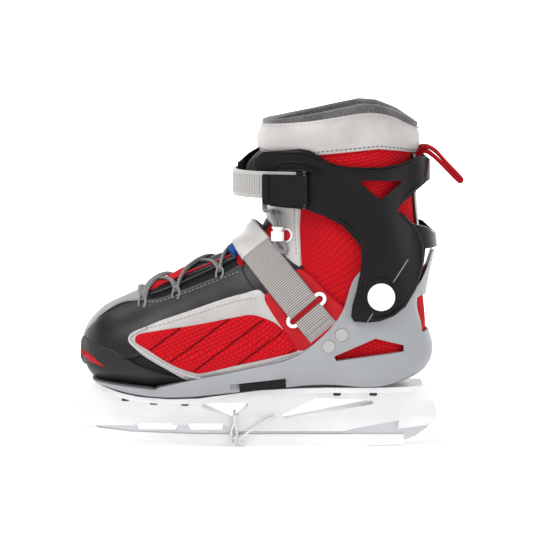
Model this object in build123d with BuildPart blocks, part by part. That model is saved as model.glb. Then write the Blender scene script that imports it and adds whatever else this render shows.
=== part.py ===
from build123d import *

import os
from functools import cache
from math import cos, hypot, pi, radians, sin

# A left-foot recreational ice skate with a soft boot, a hard base shell, a pivoting cuff and a steel runner.
#
# The toe points to -X, the outer side of the foot faces -Y and +Z is up. The origin is the point where
# the flat stretch of the blade guard touches the ground, in the plane of the blade. Lengths are millimetres.
#
# The boot is drawn as a last: closed sections that fan round the instep from the toe to the top of the
# shaft. Every shell and soft piece is a layer between two such forms, cut to its outline in side view.

# ---------------------------------------------------------------- driving dimensions
SECTION_POINTS = 20  # points on each section of the last
ANKLE = 13  # the section where the foot turns into the shaft
LINER_WALL = 5.0  # padded textile of the boot
GAP = 0.3  # between layers that touch on the real skate
SHELL_IN, SHELL_OUT = 0.6, 3.6  # base shell, measured outwards from the last
STRAP_BED = (3.9, 5.1)  # webbing that lies on the boot
STRAP_RING = (5.3, 7.1)  # ring between the two layers of webbing
STRAP_TOP = (7.3, 8.5)  # webbing that folds back over the ring
TOE_CAP = (0.3, 2.8)
CUFF_WALL = 2.8
PIVOT_X, PIVOT_Z, PIVOT_R = 85.0, 123.0, 4.0
PIVOT_FLATS = (38.2, 41.8, 42.2, 46.2)  # shell boss and cuff boss, distances from the plane of the blade
RUNNER_T, GUARD_W, GUARD_SLOT = 3.5, 8.4, 3.8
RUNNING_FIT = 0.05
BIG = 90.0  # half the width of a cutter that passes right through the boot

# Sections of the last: top x, top z, bottom x, bottom z, half width, height of the widest point as a
# share of the section, and how square the section is above and below that point.
LAST = [
    (-144.5, 84.0, -145.0, 74.0, 10.0, 0.50, 2.2, 2.2),
    (-142.3, 92.5, -142.8, 66.0, 19.5, 0.45, 2.2, 2.4),
    (-136.0, 102.0, -137.0, 58.0, 29.0, 0.42, 2.2, 2.8),
    (-126.0, 110.5, -127.0, 55.3, 37.0, 0.38, 2.1, 3.2),
    (-109.0, 118.5, -110.0, 53.6, 43.0, 0.35, 2.0, 3.4),
    (-89.0, 128.0, -88.0, 51.5, 46.0, 0.33, 2.0, 3.6),
    (-67.0, 138.0, -62.0, 51.5, 45.0, 0.33, 1.9, 3.6),
    (-46.0, 146.0, -33.0, 52.0, 42.0, 0.34, 1.9, 3.4),
    (-28.0, 154.0, 5.0, 53.5, 39.0, 0.36, 1.9, 3.0),
    (-15.0, 163.0, 48.0, 55.0, 37.0, 0.40, 2.0, 2.8),
    (-7.0, 171.0, 92.0, 57.0, 36.5, 0.42, 2.1, 2.6),
    (-2.0, 178.0, 115.0, 68.0, 36.5, 0.43, 2.1, 2.5),
    (0.0, 185.0, 121.0, 92.0, 37.0, 0.44, 2.1, 2.4),
    (0.0, 194.0, 119.0, 122.0, 37.5, 0.46, 2.2, 2.3),
    (-2.0, 207.0, 115.0, 160.0, 39.0, 0.48, 2.2, 2.3),
    (-5.0, 222.0, 112.0, 192.0, 40.5, 0.50, 2.3, 2.3),
    (-6.0, 238.0, 111.0, 222.0, 42.0, 0.50, 2.4, 2.3),
    (-4.0, 254.0, 112.0, 249.0, 43.0, 0.50, 2.4, 2.3),
    (0.0, 278.0, 113.0, 276.0, 43.0, 0.50, 2.4, 2.3),
]
# How far the outside of the base shell lies below or behind each section of the last.
SHELL_BELOW = (0, 0, 3, 5, 8, 9, 9.2, 7, 5.2, 5.2, 7, 8, 5, 3, 14, 20, 20, 20, 20)
SHELL_LINING = (0, 0, 0.3, 0.3, 0.3, 0.3, 0.3, 0.3, 0.3, 0.3, 0.5, 1, 1.7, 1.3, 10, 16, 16, 16, 16)
# Sections of the cuff's outside, in the same terms, nearly level.
CUFF = [
    (-14.0, 88.0, 130.0, 88.0, 45.0, 0.50, 2.6, 3.0),
    (-16.0, 123.0, 131.0, 123.0, 45.5, 0.50, 2.6, 3.0),
    (-19.0, 155.0, 130.0, 152.0, 46.0, 0.50, 2.6, 2.8),
    (-22.0, 185.0, 128.0, 172.0, 46.0, 0.50, 2.4, 2.6),
    (-24.5, 208.0, 125.0, 197.0, 46.0, 0.50, 2.2, 2.5),
    (-25.0, 225.0, 124.0, 218.0, 46.5, 0.50, 2.1, 2.5),
    (-24.0, 246.0, 120.0, 240.0, 46.5, 0.50, 2.1, 2.5),
]


# ---------------------------------------------------------------- forms
def grown(stations, front, back, side):
    """The stations with their top, bottom and sides moved outwards."""
    out = []
    for i, (tx, tz, bx, bz, w, wide, up, down) in enumerate(stations):
        f, b, s = (v[i] if isinstance(v, (list, tuple)) else v for v in (front, back, side))
        length = hypot(tx - bx, tz - bz)
        dx, dz = (tx - bx) / length, (tz - bz) / length
        new_wide = (length * wide + b) / (length + f + b)
        top, bottom = (tx + dx * f, tz + dz * f), (bx - dx * b, bz - dz * b)
        out.append((*top, *bottom, w + s, new_wide, up, down))
    return out


def section_points(length, half_width, wide, up, down):
    """A closed section as (sideways, upwards) points, flatter the larger up and down are."""
    points = []
    for k in range(SECTION_POINTS):
        a = 2 * pi * (k + 0.5) / SECTION_POINTS
        c, s = cos(a), sin(a)
        power = 2 / (up if c > 0 else down)
        rise = (1 - wide if c > 0 else -wide) * abs(c) ** power
        across = half_width * abs(s) ** power
        points.append((across if s > 0 else -across, length * (wide + rise)))
    return points


def span(stations):
    """The closed solid that passes through all the stations."""
    with BuildPart() as made:
        for tx, tz, bx, bz, w, wide, up, down in stations:
            length = hypot(tx - bx, tz - bz)
            normal = ((tz - bz) / length, 0, -(tx - bx) / length)
            with BuildSketch(Plane((bx, 0, bz), x_dir=(0, 1, 0), z_dir=normal)):
                with BuildLine():
                    Spline(*section_points(length, w, wide, up, down), periodic=True)
                make_face()
        loft()
    return made.part


def form(stations):
    """Foot and shaft in one: two spans that share the section at the ankle."""
    with BuildPart() as made:
        add(span(stations[: ANKLE + 1]))
        add(span(stations[ANKLE:]))
    return made.part


@cache
def foot_form(distance):
    """The foot, that far outside the last. Far inside or outside it the first sections are left out."""
    first = 1 if distance < -2 else 0 if distance < 3.5 else 4
    return span(grown(LAST[first : ANKLE + 1], distance, distance, distance))


def foot_layer(inside, outside, region):
    """A layer of the foot between two distances from the last, cut to a region."""
    with BuildPart() as made:
        add(foot_form(outside))
        add(region, mode=Mode.INTERSECT)
        add(foot_form(inside), mode=Mode.SUBTRACT)
    return made.part


def shaft_layer(inside, outside, region):
    """The same for the shaft."""
    with BuildPart() as made:
        add(span(grown(LAST[ANKLE:], outside, outside, outside)))
        add(region, mode=Mode.INTERSECT)
        add(span(grown(LAST[ANKLE:], inside, inside, inside)), mode=Mode.SUBTRACT)
    return made.part


def half_breadth(stations, x, z):
    """How far the form's side is from the plane of the blade at a point in side view."""
    before = None
    for tx, tz, bx, bz, w, wide, up, down in stations:
        length = hypot(tx - bx, tz - bz)
        dx, dz = (tx - bx) / length, (tz - bz) / length
        side = (x - bx) * dz - (z - bz) * dx
        t = ((x - bx) * dx + (z - bz) * dz) / length
        reach = (1 - wide) if t > wide else wide
        power = up if t > wide else down
        share = max(0.0, 1 - abs((t - wide) / reach) ** power) ** (1 / power)
        here = (side, w * share)
        if before and before[0] > 0 >= side:
            f = before[0] / (before[0] - side)
            return before[1] + f * (here[1] - before[1])
        before = here
    raise ValueError(f"no section passes {x}, {z}")


def prism(points, near=BIG, far=BIG, smooth=False):
    """A side-view outline made solid, from -near to +far across the boot."""
    with BuildPart() as made:
        with BuildSketch(Plane.XZ.offset(near)):
            with BuildLine():
                if smooth:
                    Spline(*points, periodic=True)
                else:
                    Polyline(*points, close=True)
            make_face()
        extrude(amount=-(near + far))
    return made.part


def rounded_prism(points, radius, near=BIG, far=BIG):
    """The same with every corner rounded."""
    with BuildPart() as made:
        with BuildSketch(Plane.XZ.offset(near)) as outline:
            with BuildLine():
                Polyline(*points, close=True)
            make_face()
            fillet(outline.vertices(), radius)
        extrude(amount=-(near + far))
    return made.part


def save(part, name):
    """Writes one sub-part under its own name."""
    part.label = name
    export_step(part, f"parts/{name}.step")


# ---------------------------------------------------------------- outlines in side view
SOLE_LINE = [(-139, 55.5), (-130, 50.5), (-117, 46.8), (-101, 44), (-78, 42.2), (-55, 42.3), (-31, 45),
             (-8, 47.8), (23, 49.4), (45, 50), (135, 50)]
# The toe box slides on the first stretch; then comes the rim of the base shell up to its ear.
LIP_LINE = [(-140, 56.3), (-88, 51.0)]
RIM_LINE = [(-84.5, 53), (-70, 56.5), (-55, 59.5), (-31, 64), (-8, 68.5), (10, 72.5), (24, 78.5),
            (35, 87), (49, 101), (56, 112), (60, 124), (65, 137)]
EAR_LINE = [(73, 144.5), (85, 147), (96, 143), (102, 134), (105.5, 125), (110, 124), (117, 133),
            (122, 143), (125.5, 154.5)]
TOE_LINE = [(-152, 57.9), (-88, 51.4), (-84.5, 53.8), (-70, 57.3), (-56, 60.2)]
SIDE_VENT = [(49, 76), (81, 90), (103, 84), (103, 79), (78, 76), (51, 72.5)]
HOLDER = [(-135, 53.4), (-144, 46), (-154, 39), (-159, 33), (-160, 28), (-156, 21), (-150, 16), (-136, 17),
          (-113, 17), (-35, 17), (-27, 12), (55, 12), (101, 21), (100, 14), (121, 17), (126, 18), (129, 23),
          (130, 29), (127, 38), (121, 46), (119, 50), (45, 50), (23, 49.4), (-8, 47.8), (-31, 45), (-55, 42.3),
          (-78, 42.2), (-101, 44), (-117, 46.8), (-130, 50.5)]
FLANGE_T = 4.0
FLANGE_SIDE = [(-133, 17), (-115, 31), (-90, 36), (-62, 34), (-33, 29), (5, 27), (48, 28), (90, 27), (112, 20)]
FRONT_WINDOW = [(-60, 35), (-14, 36), (-29, 22)]
REAR_WINDOW = [(1, 20.5), (36, 40), (95, 37.5)]
RUNNER = [(-148, 19), (-143, 14.5), (-133, 10.5), (-94, 7.8), (-31, 3.8), (-16, 2.8), (62, 2.8), (105, 4.5),
          (114, 8), (123, 14.5), (126.5, 19), (118, 24), (92, 24), (84, 17), (58, 11), (-25, 11), (-30, 20),
          (-35, 20), (-38, 12.5), (-62, 12.5), (-66, 20), (-71, 20), (-74, 12.8), (-102, 12.8), (-107, 22),
          (-140, 22)]
GUARD = [(-151.5, 21), (-147.5, 14), (-136, 8), (-94, 5), (-31, 1), (-16, 0), (62, 0), (105, 1.5), (105, 9.5),
         (-55, 9.5), (-109, 11.6), (-134, 14.8), (-145, 21.5)]
CUFF_UPPER = [(-12, 222), (-11, 228), (-6, 233), (4, 234), (23, 236), (30, 235), (37, 231), (45, 226),
              (55, 223), (70, 222), (86, 222), (98, 224), (108, 227.5), (114, 229.5), (119, 229),
              (123, 226), (135, 221), (135, 212), (121, 209.5), (113, 204), (106, 198), (97, 190),
              (99, 187), (105, 180), (113, 177), (120, 175), (126, 170), (135, 164.5), (135, 158.5),
              (119.5, 158.5), (118.5, 150), (116.5, 140), (112, 128), (104, 115), (95, 108), (84, 104),
              (74, 103), (64, 104), (62, 108), (63, 116), (66, 127), (69, 142), (70, 154), (69, 162),
              (64, 168), (55, 178), (41, 185), (27, 190), (10, 191), (0, 192), (-3, 197)]
CUFF_MEDIAL = [(-40, 212), (-40, 222), (-24, 223), (-16, 229), (-6, 234), *CUFF_UPPER[3:-1], (-10, 196),
               (-30, 203)]
CUFF_WINDOW = [(67, 212), (103, 211.5), (84, 197)]
COLLAR = [(-20, 227), (-20, 247), (-4, 249), (2, 255), (23, 257), (47, 260), (66, 262), (78, 262), (94, 259),
          (103, 255), (125, 252), (125, 236), (112, 233), (98, 237), (82, 239), (62, 237), (31, 239),
          (23, 240), (-6, 237)]
CAP_TOP = [(-57.5, 60.8), (-74, 62), (-90, 67), (-101, 71), (-113, 78), (-121, 82), (-133, 85), (-142, 89),
           (-152, 94)]
MESH_FRONT = [(-110, 85), (-107, 93), (-94, 95), (-57.5, 101), (-57.5, 65), (-66, 64), (-82, 71), (-98, 80)]
MESH_REAR = [(-56.5, 101.2), (-23, 107), (-14, 108), (-6, 107), (4, 102), (12, 96), (23, 82.5), (-23, 72),
             (-56.5, 65)]
QUARTER = [(-56.5, 61.6), (-31, 66), (-8, 70.5), (9, 74.5), (22, 80.5), (32.5, 89), (46, 103), (53, 113.5),
           (57, 125), (61, 138), (66, 142.5), (-1, 174.7), (-20, 200), (-56.5, 200)]
SHAFT = [(-20, 190), (-20, 257), (0, 258), (40, 266), (76, 271), (98, 262), (130, 254), (130, 114),
         (119, 124), (0, 196.5)]
FOOT = [(-20, 200), (-1, 176), (121, 118), (140, 118), (140, 30), (-56.5, 30), (-56.5, 200)]
PULL_TAB = [(116.4, 233.6), (117, 237), (121, 239.5), (129, 236.5), (140, 224.5), (151.5, 212), (150.5, 207.5),
            (146, 206.5), (138, 215.5), (131, 225), (124, 233.8), (120, 235.3)]
TIE_LOOP = [(0, 26.6), (6, 26.6), (9.8, 25), (8.4, 20), (7.4, 13), (6.8, 8), (6.2, 4), (4.2, 1.7)]
LACE_R = 1.7
LACE_ROWS_FRONT = [(3.4, 5), (3.4, 6)]  # distance from the last, and the section that the row follows
LACE_ROWS_REAR = [(3.4, 7)]
RIVETS = [(55, 93), (45, 84)]
BUCKLE_RIVETS = [(-10, 0), (4, 0)]
STRAP_AXIS = ((30.5, 107.5), (-17, 165))  # middle of the instep strap, from its ring to the ridge
STRAP_WIDTH = 27.0


def shell_region():
    """Side view of the base shell."""
    with BuildPart() as made:
        with BuildSketch(Plane.XZ.offset(BIG)):
            with BuildLine():
                Polyline(*LIP_LINE, RIM_LINE[0])
                Spline(*RIM_LINE, EAR_LINE[0], *EAR_LINE[1:4])
                Polyline(*EAR_LINE[3:], (140, 154.5), *SOLE_LINE[::-1], LIP_LINE[0])
            make_face()
        extrude(amount=-2 * BIG)
    return made.part


def band(start, end, width=STRAP_WIDTH, near=BIG, far=BIG):
    """A stretch of the instep strap in side view, between two distances along its middle line."""
    (x0, z0), (x1, z1) = STRAP_AXIS
    length = hypot(x1 - x0, z1 - z0)
    dx, dz = (x1 - x0) / length, (z1 - z0) / length
    corners = [(start, -width / 2), (end, -width / 2), (end, width / 2), (start, width / 2)]
    return prism([(x0 + dx * a - dz * b, z0 + dz * a + dx * b) for a, b in corners], near, far)


def pegs(points, radius, start, end):
    """Pegs across the boot on both sides, between two distances from the plane of the blade."""
    with BuildPart() as made:
        for side in (-1, 1):
            with BuildSketch(Plane.XZ.offset(-side * start)):
                with Locations(*points):
                    Circle(radius)
            extrude(amount=-side * (end - start))
    return made.part


def holder_flange():
    """The plate on top of the blade holder that follows the underside of the shell."""
    with BuildPart() as made:
        under = [(x, z - FLANGE_T) for x, z in SOLE_LINE[-2:0:-1]]
        add(prism([*SOLE_LINE[:-1], (118, 50), (121, 50 - FLANGE_T), *under, (-134, 49.5)]))
        with BuildSketch(Plane.XY.offset(30)):
            with BuildLine():
                Spline((-137, 0), *FLANGE_SIDE, (120, 0))
                Spline((120, 0), *[(x, -y) for x, y in FLANGE_SIDE[::-1]], (-137, 0))
            make_face()
        extrude(amount=40, mode=Mode.INTERSECT)
    return made.part


def ring_outline():
    """Side view of the strap ring: an oblong frame across the strap."""
    with BuildPart() as made:
        add(band(-8.5, 8.5, 36, far=0))
        add(band(-4.5, 4.5, 28.4, far=0), mode=Mode.SUBTRACT)
    return made.part


def cuff_outline():
    """The cuff from both sides: on the inner side of the foot its flap reaches round the front."""
    with BuildPart() as made:
        add(prism(CUFF_UPPER, far=0))
        add(prism(CUFF_MEDIAL, near=0))
    return made.part


def lace(distance, row):
    """A row of lace across the top of a section of the last, that far outside it."""
    tx, tz, bx, bz, w, wide, up, down = grown(LAST, distance, distance, distance)[row]
    length = hypot(tx - bx, tz - bz)
    plane = Plane((bx, 0, bz), x_dir=(0, 1, 0), z_dir=((tz - bz) / length, 0, -(tx - bx) / length))
    points = []
    for a in (-50, -35, -18, 0, 18, 35, 50):
        c, s = cos(radians(a)) ** (2 / up), abs(sin(radians(a))) ** (2 / up)
        points.append((w * (s if a > 0 else -s), length * (wide + (1 - wide) * c)))
    with BuildPart() as made:
        with BuildLine(plane) as path:
            Spline(*points)
        with BuildSketch(Plane(path.wire() @ 0, z_dir=path.wire() % 0)):
            Circle(LACE_R)
        sweep(path=path.wire())
    return made.part


def beside(path, distance):
    """The points of a path in plan, moved sideways."""
    out = []
    for k, (x, y) in enumerate(path):
        (x0, y0), (x1, y1) = path[max(k - 1, 0)], path[min(k + 1, len(path) - 1)]
        length = hypot(x1 - x0, y1 - y0)
        out.append((x + distance * (y1 - y0) / length, y - distance * (x1 - x0) / length))
    return out


def hinge_bar(radius, length):
    """A round bar on the hinge line of the buckle's lever."""
    with BuildPart() as made:
        x = 13 + HINGE_U * turn_c - HINGE_W * turn_s
        y = -44.4 - HINGE_U * turn_s - HINGE_W * turn_c
        with Locations((x, y, 205.5)):
            Cylinder(radius, length)
    return made.part


os.makedirs("parts", exist_ok=True)

# ---------------------------------------------------------------- base shell
shell_outside = grown(LAST, 0, SHELL_BELOW, SHELL_OUT)
shell_outside = [(*s[:7], 5.0 if i < 11 else s[7]) for i, s in enumerate(shell_outside)]
RIVET_SEAT = min(half_breadth(shell_outside, x, z) for x, z in RIVETS) - 0.8
SLOT_TILT = 5.4
SLOT_Y = half_breadth(shell_outside, -10, 53.5)
slot_plane = Plane((-9, -SLOT_Y - 0.3, 53.2), x_dir=(cos(radians(SLOT_TILT)), 0, sin(radians(SLOT_TILT))),
                   z_dir=(0, -1, 0))
BOLTS = [(-112, 24.5), (-90, 25), (-66, 25), (52, 24), (80, 24)]  # x and distance from the plane of the blade
BOLT_SPOTS = [(x, y * side) for x, y in BOLTS for side in (-1, 1)]

with BuildPart() as base_shell:
    add(form(shell_outside))
    add(shell_region(), mode=Mode.INTERSECT)
    add(pegs([(PIVOT_X, PIVOT_Z)], 12, PIVOT_FLATS[0], PIVOT_FLATS[1]))
    add(form(grown(LAST, SHELL_IN, SHELL_LINING, SHELL_IN)), mode=Mode.SUBTRACT)
    add(prism(SIDE_VENT), mode=Mode.SUBTRACT)
    with Locations((125, 0, 106.5)):
        Box(40, 48, 27, mode=Mode.SUBTRACT)
    add(pegs([(PIVOT_X, PIVOT_Z)], PIVOT_R + RUNNING_FIT, 30, 60), mode=Mode.SUBTRACT)
    add(pegs([(PIVOT_X, PIVOT_Z)], 6.6, 30, 39.8), mode=Mode.SUBTRACT)
    add(pegs(RIVETS, 2.45, 30, 60), mode=Mode.SUBTRACT)
    add(pegs(RIVETS, 5, RIVET_SEAT, 60), mode=Mode.SUBTRACT)
    with BuildSketch(slot_plane):
        Rectangle(43, 7)
    extrude(amount=-2.5, mode=Mode.SUBTRACT)
    with BuildSketch(slot_plane):
        Rectangle(43, 7)
    extrude(amount=10, mode=Mode.SUBTRACT)
    with BuildSketch(Plane.XY.offset(40)):
        with Locations(*BOLT_SPOTS):
            Circle(2.55)
    extrude(amount=14, mode=Mode.SUBTRACT)
save(base_shell.part, "base_shell")

with BuildPart() as size_slider:
    with BuildSketch(slot_plane.offset(-2.4)):
        with Locations((3.3, 0)):
            Rectangle(35.8, 6.4)
    extrude(amount=2.6)
    with BuildSketch(slot_plane.offset(0.2)):
        with Locations((-2, 0), (6, 0), (14, 0)):
            Rectangle(5.5, 4.6)
    extrude(amount=0.7)
save(size_slider.part, "size_slider")

# ---------------------------------------------------------------- blade holder, runner and guard
with BuildPart() as blade_runner:
    add(prism(RUNNER, RUNNER_T / 2, RUNNER_T / 2))
save(blade_runner.part, "blade_runner")

with BuildPart() as blade_holder:
    add(prism(HOLDER))
    for window in (FRONT_WINDOW, REAR_WINDOW):
        add(rounded_prism(window, 1.8), mode=Mode.SUBTRACT)
    for start, end in ((-106, -76), (-65, -37)):
        with Locations(((start + end) / 2, 0, 14)):
            Box(end - start, 40, 8.5, mode=Mode.SUBTRACT)
    with BuildSketch(Plane.YZ.offset(-170)):
        Polygon((-22, 56), (22, 56), (16, 38), (6.5, 24), (5.5, 11), (-5.5, 11), (-6.5, 24), (-16, 38),
                align=None)
    extrude(amount=320, mode=Mode.INTERSECT)
    add(holder_flange())
    add(blade_runner.part, mode=Mode.SUBTRACT)
    add(prism(GUARD, GUARD_W / 2 + GAP, GUARD_W / 2 + GAP), mode=Mode.SUBTRACT)
    with BuildSketch(Plane.XY.offset(30)):
        with Locations(*BOLT_SPOTS):
            Circle(2.55)
    extrude(amount=30, mode=Mode.SUBTRACT)
save(blade_holder.part, "blade_holder")

with BuildPart() as edge_guard:
    add(prism(GUARD, GUARD_W / 2, GUARD_W / 2))
    add(prism(RUNNER, GUARD_SLOT / 2, GUARD_SLOT / 2), mode=Mode.SUBTRACT)
    with Locations((-28, 0, 0.6)):
        Box(2.6, 20, 4, mode=Mode.SUBTRACT)
save(edge_guard.part, "edge_guard")


with BuildPart() as holder_bolts:
    for x, y in BOLT_SPOTS:
        under = next(
            z0 + (z1 - z0) * (x - x0) / (x1 - x0) for (x0, z0), (x1, z1) in zip(SOLE_LINE, SOLE_LINE[1:]) if x1 > x
        )
        with Locations((x, y, under - 4.7)):
            Cylinder(3, 1.8, align=(Align.CENTER, Align.CENTER, Align.MAX))
            Cylinder(2.5, 8.1, align=(Align.CENTER, Align.CENTER, Align.MIN))
save(holder_bolts.part, "holder_bolts")

with BuildPart() as guard_tie:
    with BuildLine(Plane((-28, 0, 0), x_dir=(0, 1, 0), z_dir=(1, 0, 0))) as loop:
        Spline(*TIE_LOOP, (0, 1.6), *[(-y, z) for y, z in TIE_LOOP[:0:-1]], periodic=True)
    with BuildSketch(Plane((-28, 0, 26.6), x_dir=(1, 0, 0), z_dir=(0, 1, 0))):
        Circle(1)
    sweep(path=loop.wire())
save(guard_tie.part, "guard_tie")

# ---------------------------------------------------------------- pivots of the cuff
with BuildPart() as pivot_pins:
    add(pegs([(PIVOT_X, PIVOT_Z)], 6.5, 38.6, 39.8))
    add(pegs([(PIVOT_X, PIVOT_Z)], PIVOT_R, 39.8, 46.6))
save(pivot_pins.part, "pivot_pins")

with BuildPart() as pivot_caps:
    add(pegs([(PIVOT_X, PIVOT_Z)], 10.5, 46.6, 48.4))
    add(pegs([(PIVOT_X, PIVOT_Z)], 8.5, 48.4, 49.0))
save(pivot_caps.part, "pivot_caps")

# ---------------------------------------------------------------- soft boot, rear part
with BuildPart() as boot_upper:
    add(foot_layer(-LINER_WALL, 0, prism(FOOT)))
    with Locations((-25, 0, 160)):
        Box(90, 27, 90, mode=Mode.SUBTRACT)
save(boot_upper.part, "boot_upper")

with BuildPart() as tongue:
    add(foot_layer(-LINER_WALL, 0, prism(FOOT)))
    with Locations((-25, 0, 160)):
        Box(90, 26, 90, mode=Mode.INTERSECT)
save(tongue.part, "tongue")

with BuildPart() as quarters:
    add(foot_layer(GAP, 1.3, prism(QUARTER)))
    add(prism(MESH_REAR), mode=Mode.SUBTRACT)
    with Locations((-25, 0, 160)):
        Box(90, 29, 90, mode=Mode.SUBTRACT)
save(quarters.part, "quarters")

with BuildPart() as side_mesh:
    add(foot_layer(GAP, 1.2, prism(MESH_REAR)))
save(side_mesh.part, "side_mesh")

with BuildPart() as insole_rear:
    add(foot_form(-LINER_WALL - GAP))
    add(prism([(-56.5, 40), (-56.5, 60), (5, 61.5), (48, 63), (92, 65.5), (140, 67), (140, 40)]),
        mode=Mode.INTERSECT)
save(insole_rear.part, "insole_rear")

# ---------------------------------------------------------------- toe box
with BuildPart() as toe_upper:
    add(foot_layer(-LINER_WALL, 0, prism([(-152, 58.1), (-88, 51.7), (-57.5, 52.2), (-57.5, 160), (-152, 160)])))
save(toe_upper.part, "toe_upper")

with BuildPart() as toe_cap:
    add(foot_layer(*TOE_CAP, prism([*TOE_LINE, *CAP_TOP])))
    with Locations((0, 0, 90)):
        Box(115, 200, 120, mode=Mode.SUBTRACT)
save(toe_cap.part, "toe_cap")

with BuildPart() as vamp:
    add(foot_layer(GAP, 1.3, prism([*CAP_TOP, (-152, 160), (-57.5, 160)])))
    add(prism(MESH_FRONT), mode=Mode.SUBTRACT)
save(vamp.part, "vamp")

with BuildPart() as toe_mesh:
    add(foot_layer(GAP, 1.2, prism(MESH_FRONT)))
    add(prism([*CAP_TOP, (-152, 160), (-57.5, 160)]), mode=Mode.INTERSECT)
save(toe_mesh.part, "toe_mesh")

with BuildPart() as insole_front:
    add(foot_form(-LINER_WALL - GAP))
    add(prism([(-57.5, 40), (-57.5, 60), (-88, 59.5), (-110, 61.5), (-150, 66), (-150, 40)]),
        mode=Mode.INTERSECT)
save(insole_front.part, "insole_front")

# ---------------------------------------------------------------- laces and instep strap
with BuildPart() as lace_front:
    for distance, row in LACE_ROWS_FRONT:
        add(lace(distance, row))
save(lace_front.part, "lace_front")

with BuildPart() as lace_rear:
    for distance, row in LACE_ROWS_REAR:
        add(lace(distance, row))
save(lace_rear.part, "lace_rear")

with BuildPart() as instep_strap:
    add(foot_layer(*STRAP_BED, band(2.8, 95, far=0)))
    add(foot_layer(*STRAP_BED, band(-16, 95, near=0)))
    add(foot_layer(*STRAP_TOP, band(2.8, 60, far=-5)))
    add(foot_layer(STRAP_BED[0], STRAP_TOP[1], band(2.8, 4.2, far=0)))
save(instep_strap.part, "instep_strap")

with BuildPart() as strap_anchor:
    add(foot_layer(*STRAP_BED, band(-16, -2.8, far=0)))
    add(foot_layer(*STRAP_TOP, band(-14, -2.8, far=0)))
    add(foot_layer(STRAP_BED[0], STRAP_TOP[1], band(-4.2, -2.8, far=0)))
    add(foot_layer(STRAP_BED[0], STRAP_TOP[1], band(-14, -12, far=0)))
save(strap_anchor.part, "strap_anchor")

with BuildPart() as instep_ring:
    add(foot_layer(*STRAP_RING, ring_outline()))
save(instep_ring.part, "instep_ring")

with BuildPart() as strap_end_patch:
    add(foot_layer(STRAP_TOP[1] + GAP, STRAP_TOP[1] + 1.6, band(63, 95, 28)))
save(strap_end_patch.part, "strap_end_patch")

with BuildPart() as strap_rivets:
    add(pegs(RIVETS, 2.4, RIVET_SEAT - 1.8, RIVET_SEAT))
    add(pegs(RIVETS, 4.8, RIVET_SEAT, RIVET_SEAT + 1.8))
save(strap_rivets.part, "strap_rivets")

# ---------------------------------------------------------------- cord lock
LOCK = (5.8, -30, 164.6)
with BuildPart() as cord_lock_body:
    with Locations(LOCK):
        Cylinder(5, 7, align=(Align.CENTER, Align.CENTER, Align.MIN))
    with Locations((LOCK[0], LOCK[1], LOCK[2] + 1.5)):
        Cylinder(3.6, 12, align=(Align.CENTER, Align.CENTER, Align.MIN), mode=Mode.SUBTRACT)
save(cord_lock_body.part, "cord_lock_body")

with BuildPart() as cord_lock_button:
    with Locations((LOCK[0], LOCK[1], LOCK[2] + 3.9)):
        Cylinder(3.6 - RUNNING_FIT, 5.6, align=(Align.CENTER, Align.CENTER, Align.MIN))
    with Locations((LOCK[0], LOCK[1], LOCK[2] + 9.4)):
        Cylinder(4.4, 1.4, align=(Align.CENTER, Align.CENTER, Align.MIN))
save(cord_lock_button.part, "cord_lock_button")

# ---------------------------------------------------------------- cuff
BUCKLE_TURN = 14.5  # degrees that the buckle's face turns towards the toe
turn_c, turn_s = cos(radians(BUCKLE_TURN)), sin(radians(BUCKLE_TURN))
buckle_plane = Plane((13, -44.4, 205.5), x_dir=(turn_c, -turn_s, 0), z_dir=(-turn_s, -turn_c, 0))
HINGE_U, HINGE_W = 14.5, 5.0  # lever's hinge, rearwards and outwards from the middle of the buckle
cuff_inside = span(grown(CUFF, -CUFF_WALL, -CUFF_WALL, -CUFF_WALL))

with BuildPart() as cuff_shell:
    add(span(CUFF))
    add(cuff_outline(), mode=Mode.INTERSECT)
    add(pegs([(PIVOT_X, PIVOT_Z)], 14.3, PIVOT_FLATS[2], PIVOT_FLATS[3]))
    with BuildSketch(buckle_plane):
        Rectangle(34, 25)
    extrude(amount=-7)
    add(cuff_inside, mode=Mode.SUBTRACT)
    add(pegs([(PIVOT_X, PIVOT_Z)], 14.3, 30, PIVOT_FLATS[2]), mode=Mode.SUBTRACT)
    add(pegs([(PIVOT_X, PIVOT_Z)], PIVOT_R + RUNNING_FIT, 30, 60), mode=Mode.SUBTRACT)
    add(rounded_prism(CUFF_WINDOW, 1.5), mode=Mode.SUBTRACT)
    with BuildSketch(buckle_plane):
        with Locations(*BUCKLE_RIVETS):
            Circle(2.05)
    extrude(amount=-12, mode=Mode.SUBTRACT)
save(cuff_shell.part, "cuff_shell")

with BuildPart() as buckle_base:
    with BuildSketch(buckle_plane):
        Rectangle(33, 24)
        with Locations(*BUCKLE_RIVETS):
            Circle(2.05, mode=Mode.SUBTRACT)
    extrude(amount=1.6)
    with BuildSketch(buckle_plane.offset(1.6)):
        with Locations((HINGE_U - 1.5, 12.7), (HINGE_U - 1.5, -12.7)):
            Rectangle(7, 1.6)
    extrude(amount=5.6)
    with BuildSketch(buckle_plane.offset(0.8)):
        with Locations((HINGE_U - 1.5, 12.7), (HINGE_U - 1.5, -12.7)):
            Rectangle(7, 1.6)
    extrude(amount=0.8)
    add(hinge_bar(1.0 + RUNNING_FIT, 30), mode=Mode.SUBTRACT)
save(buckle_base.part, "buckle_base")

with BuildPart() as buckle_rivets:
    with BuildSketch(buckle_plane.offset(1.6)):
        with Locations(*BUCKLE_RIVETS):
            Circle(3)
    extrude(amount=0.4)
    with BuildSketch(buckle_plane.offset(1.6)):
        with Locations(*BUCKLE_RIVETS):
            Circle(2)
    extrude(amount=-4)
save(buckle_rivets.part, "buckle_rivets")

with BuildPart() as lever_pin:
    add(hinge_bar(1.0, 27.6))
save(lever_pin.part, "lever_pin")

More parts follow.
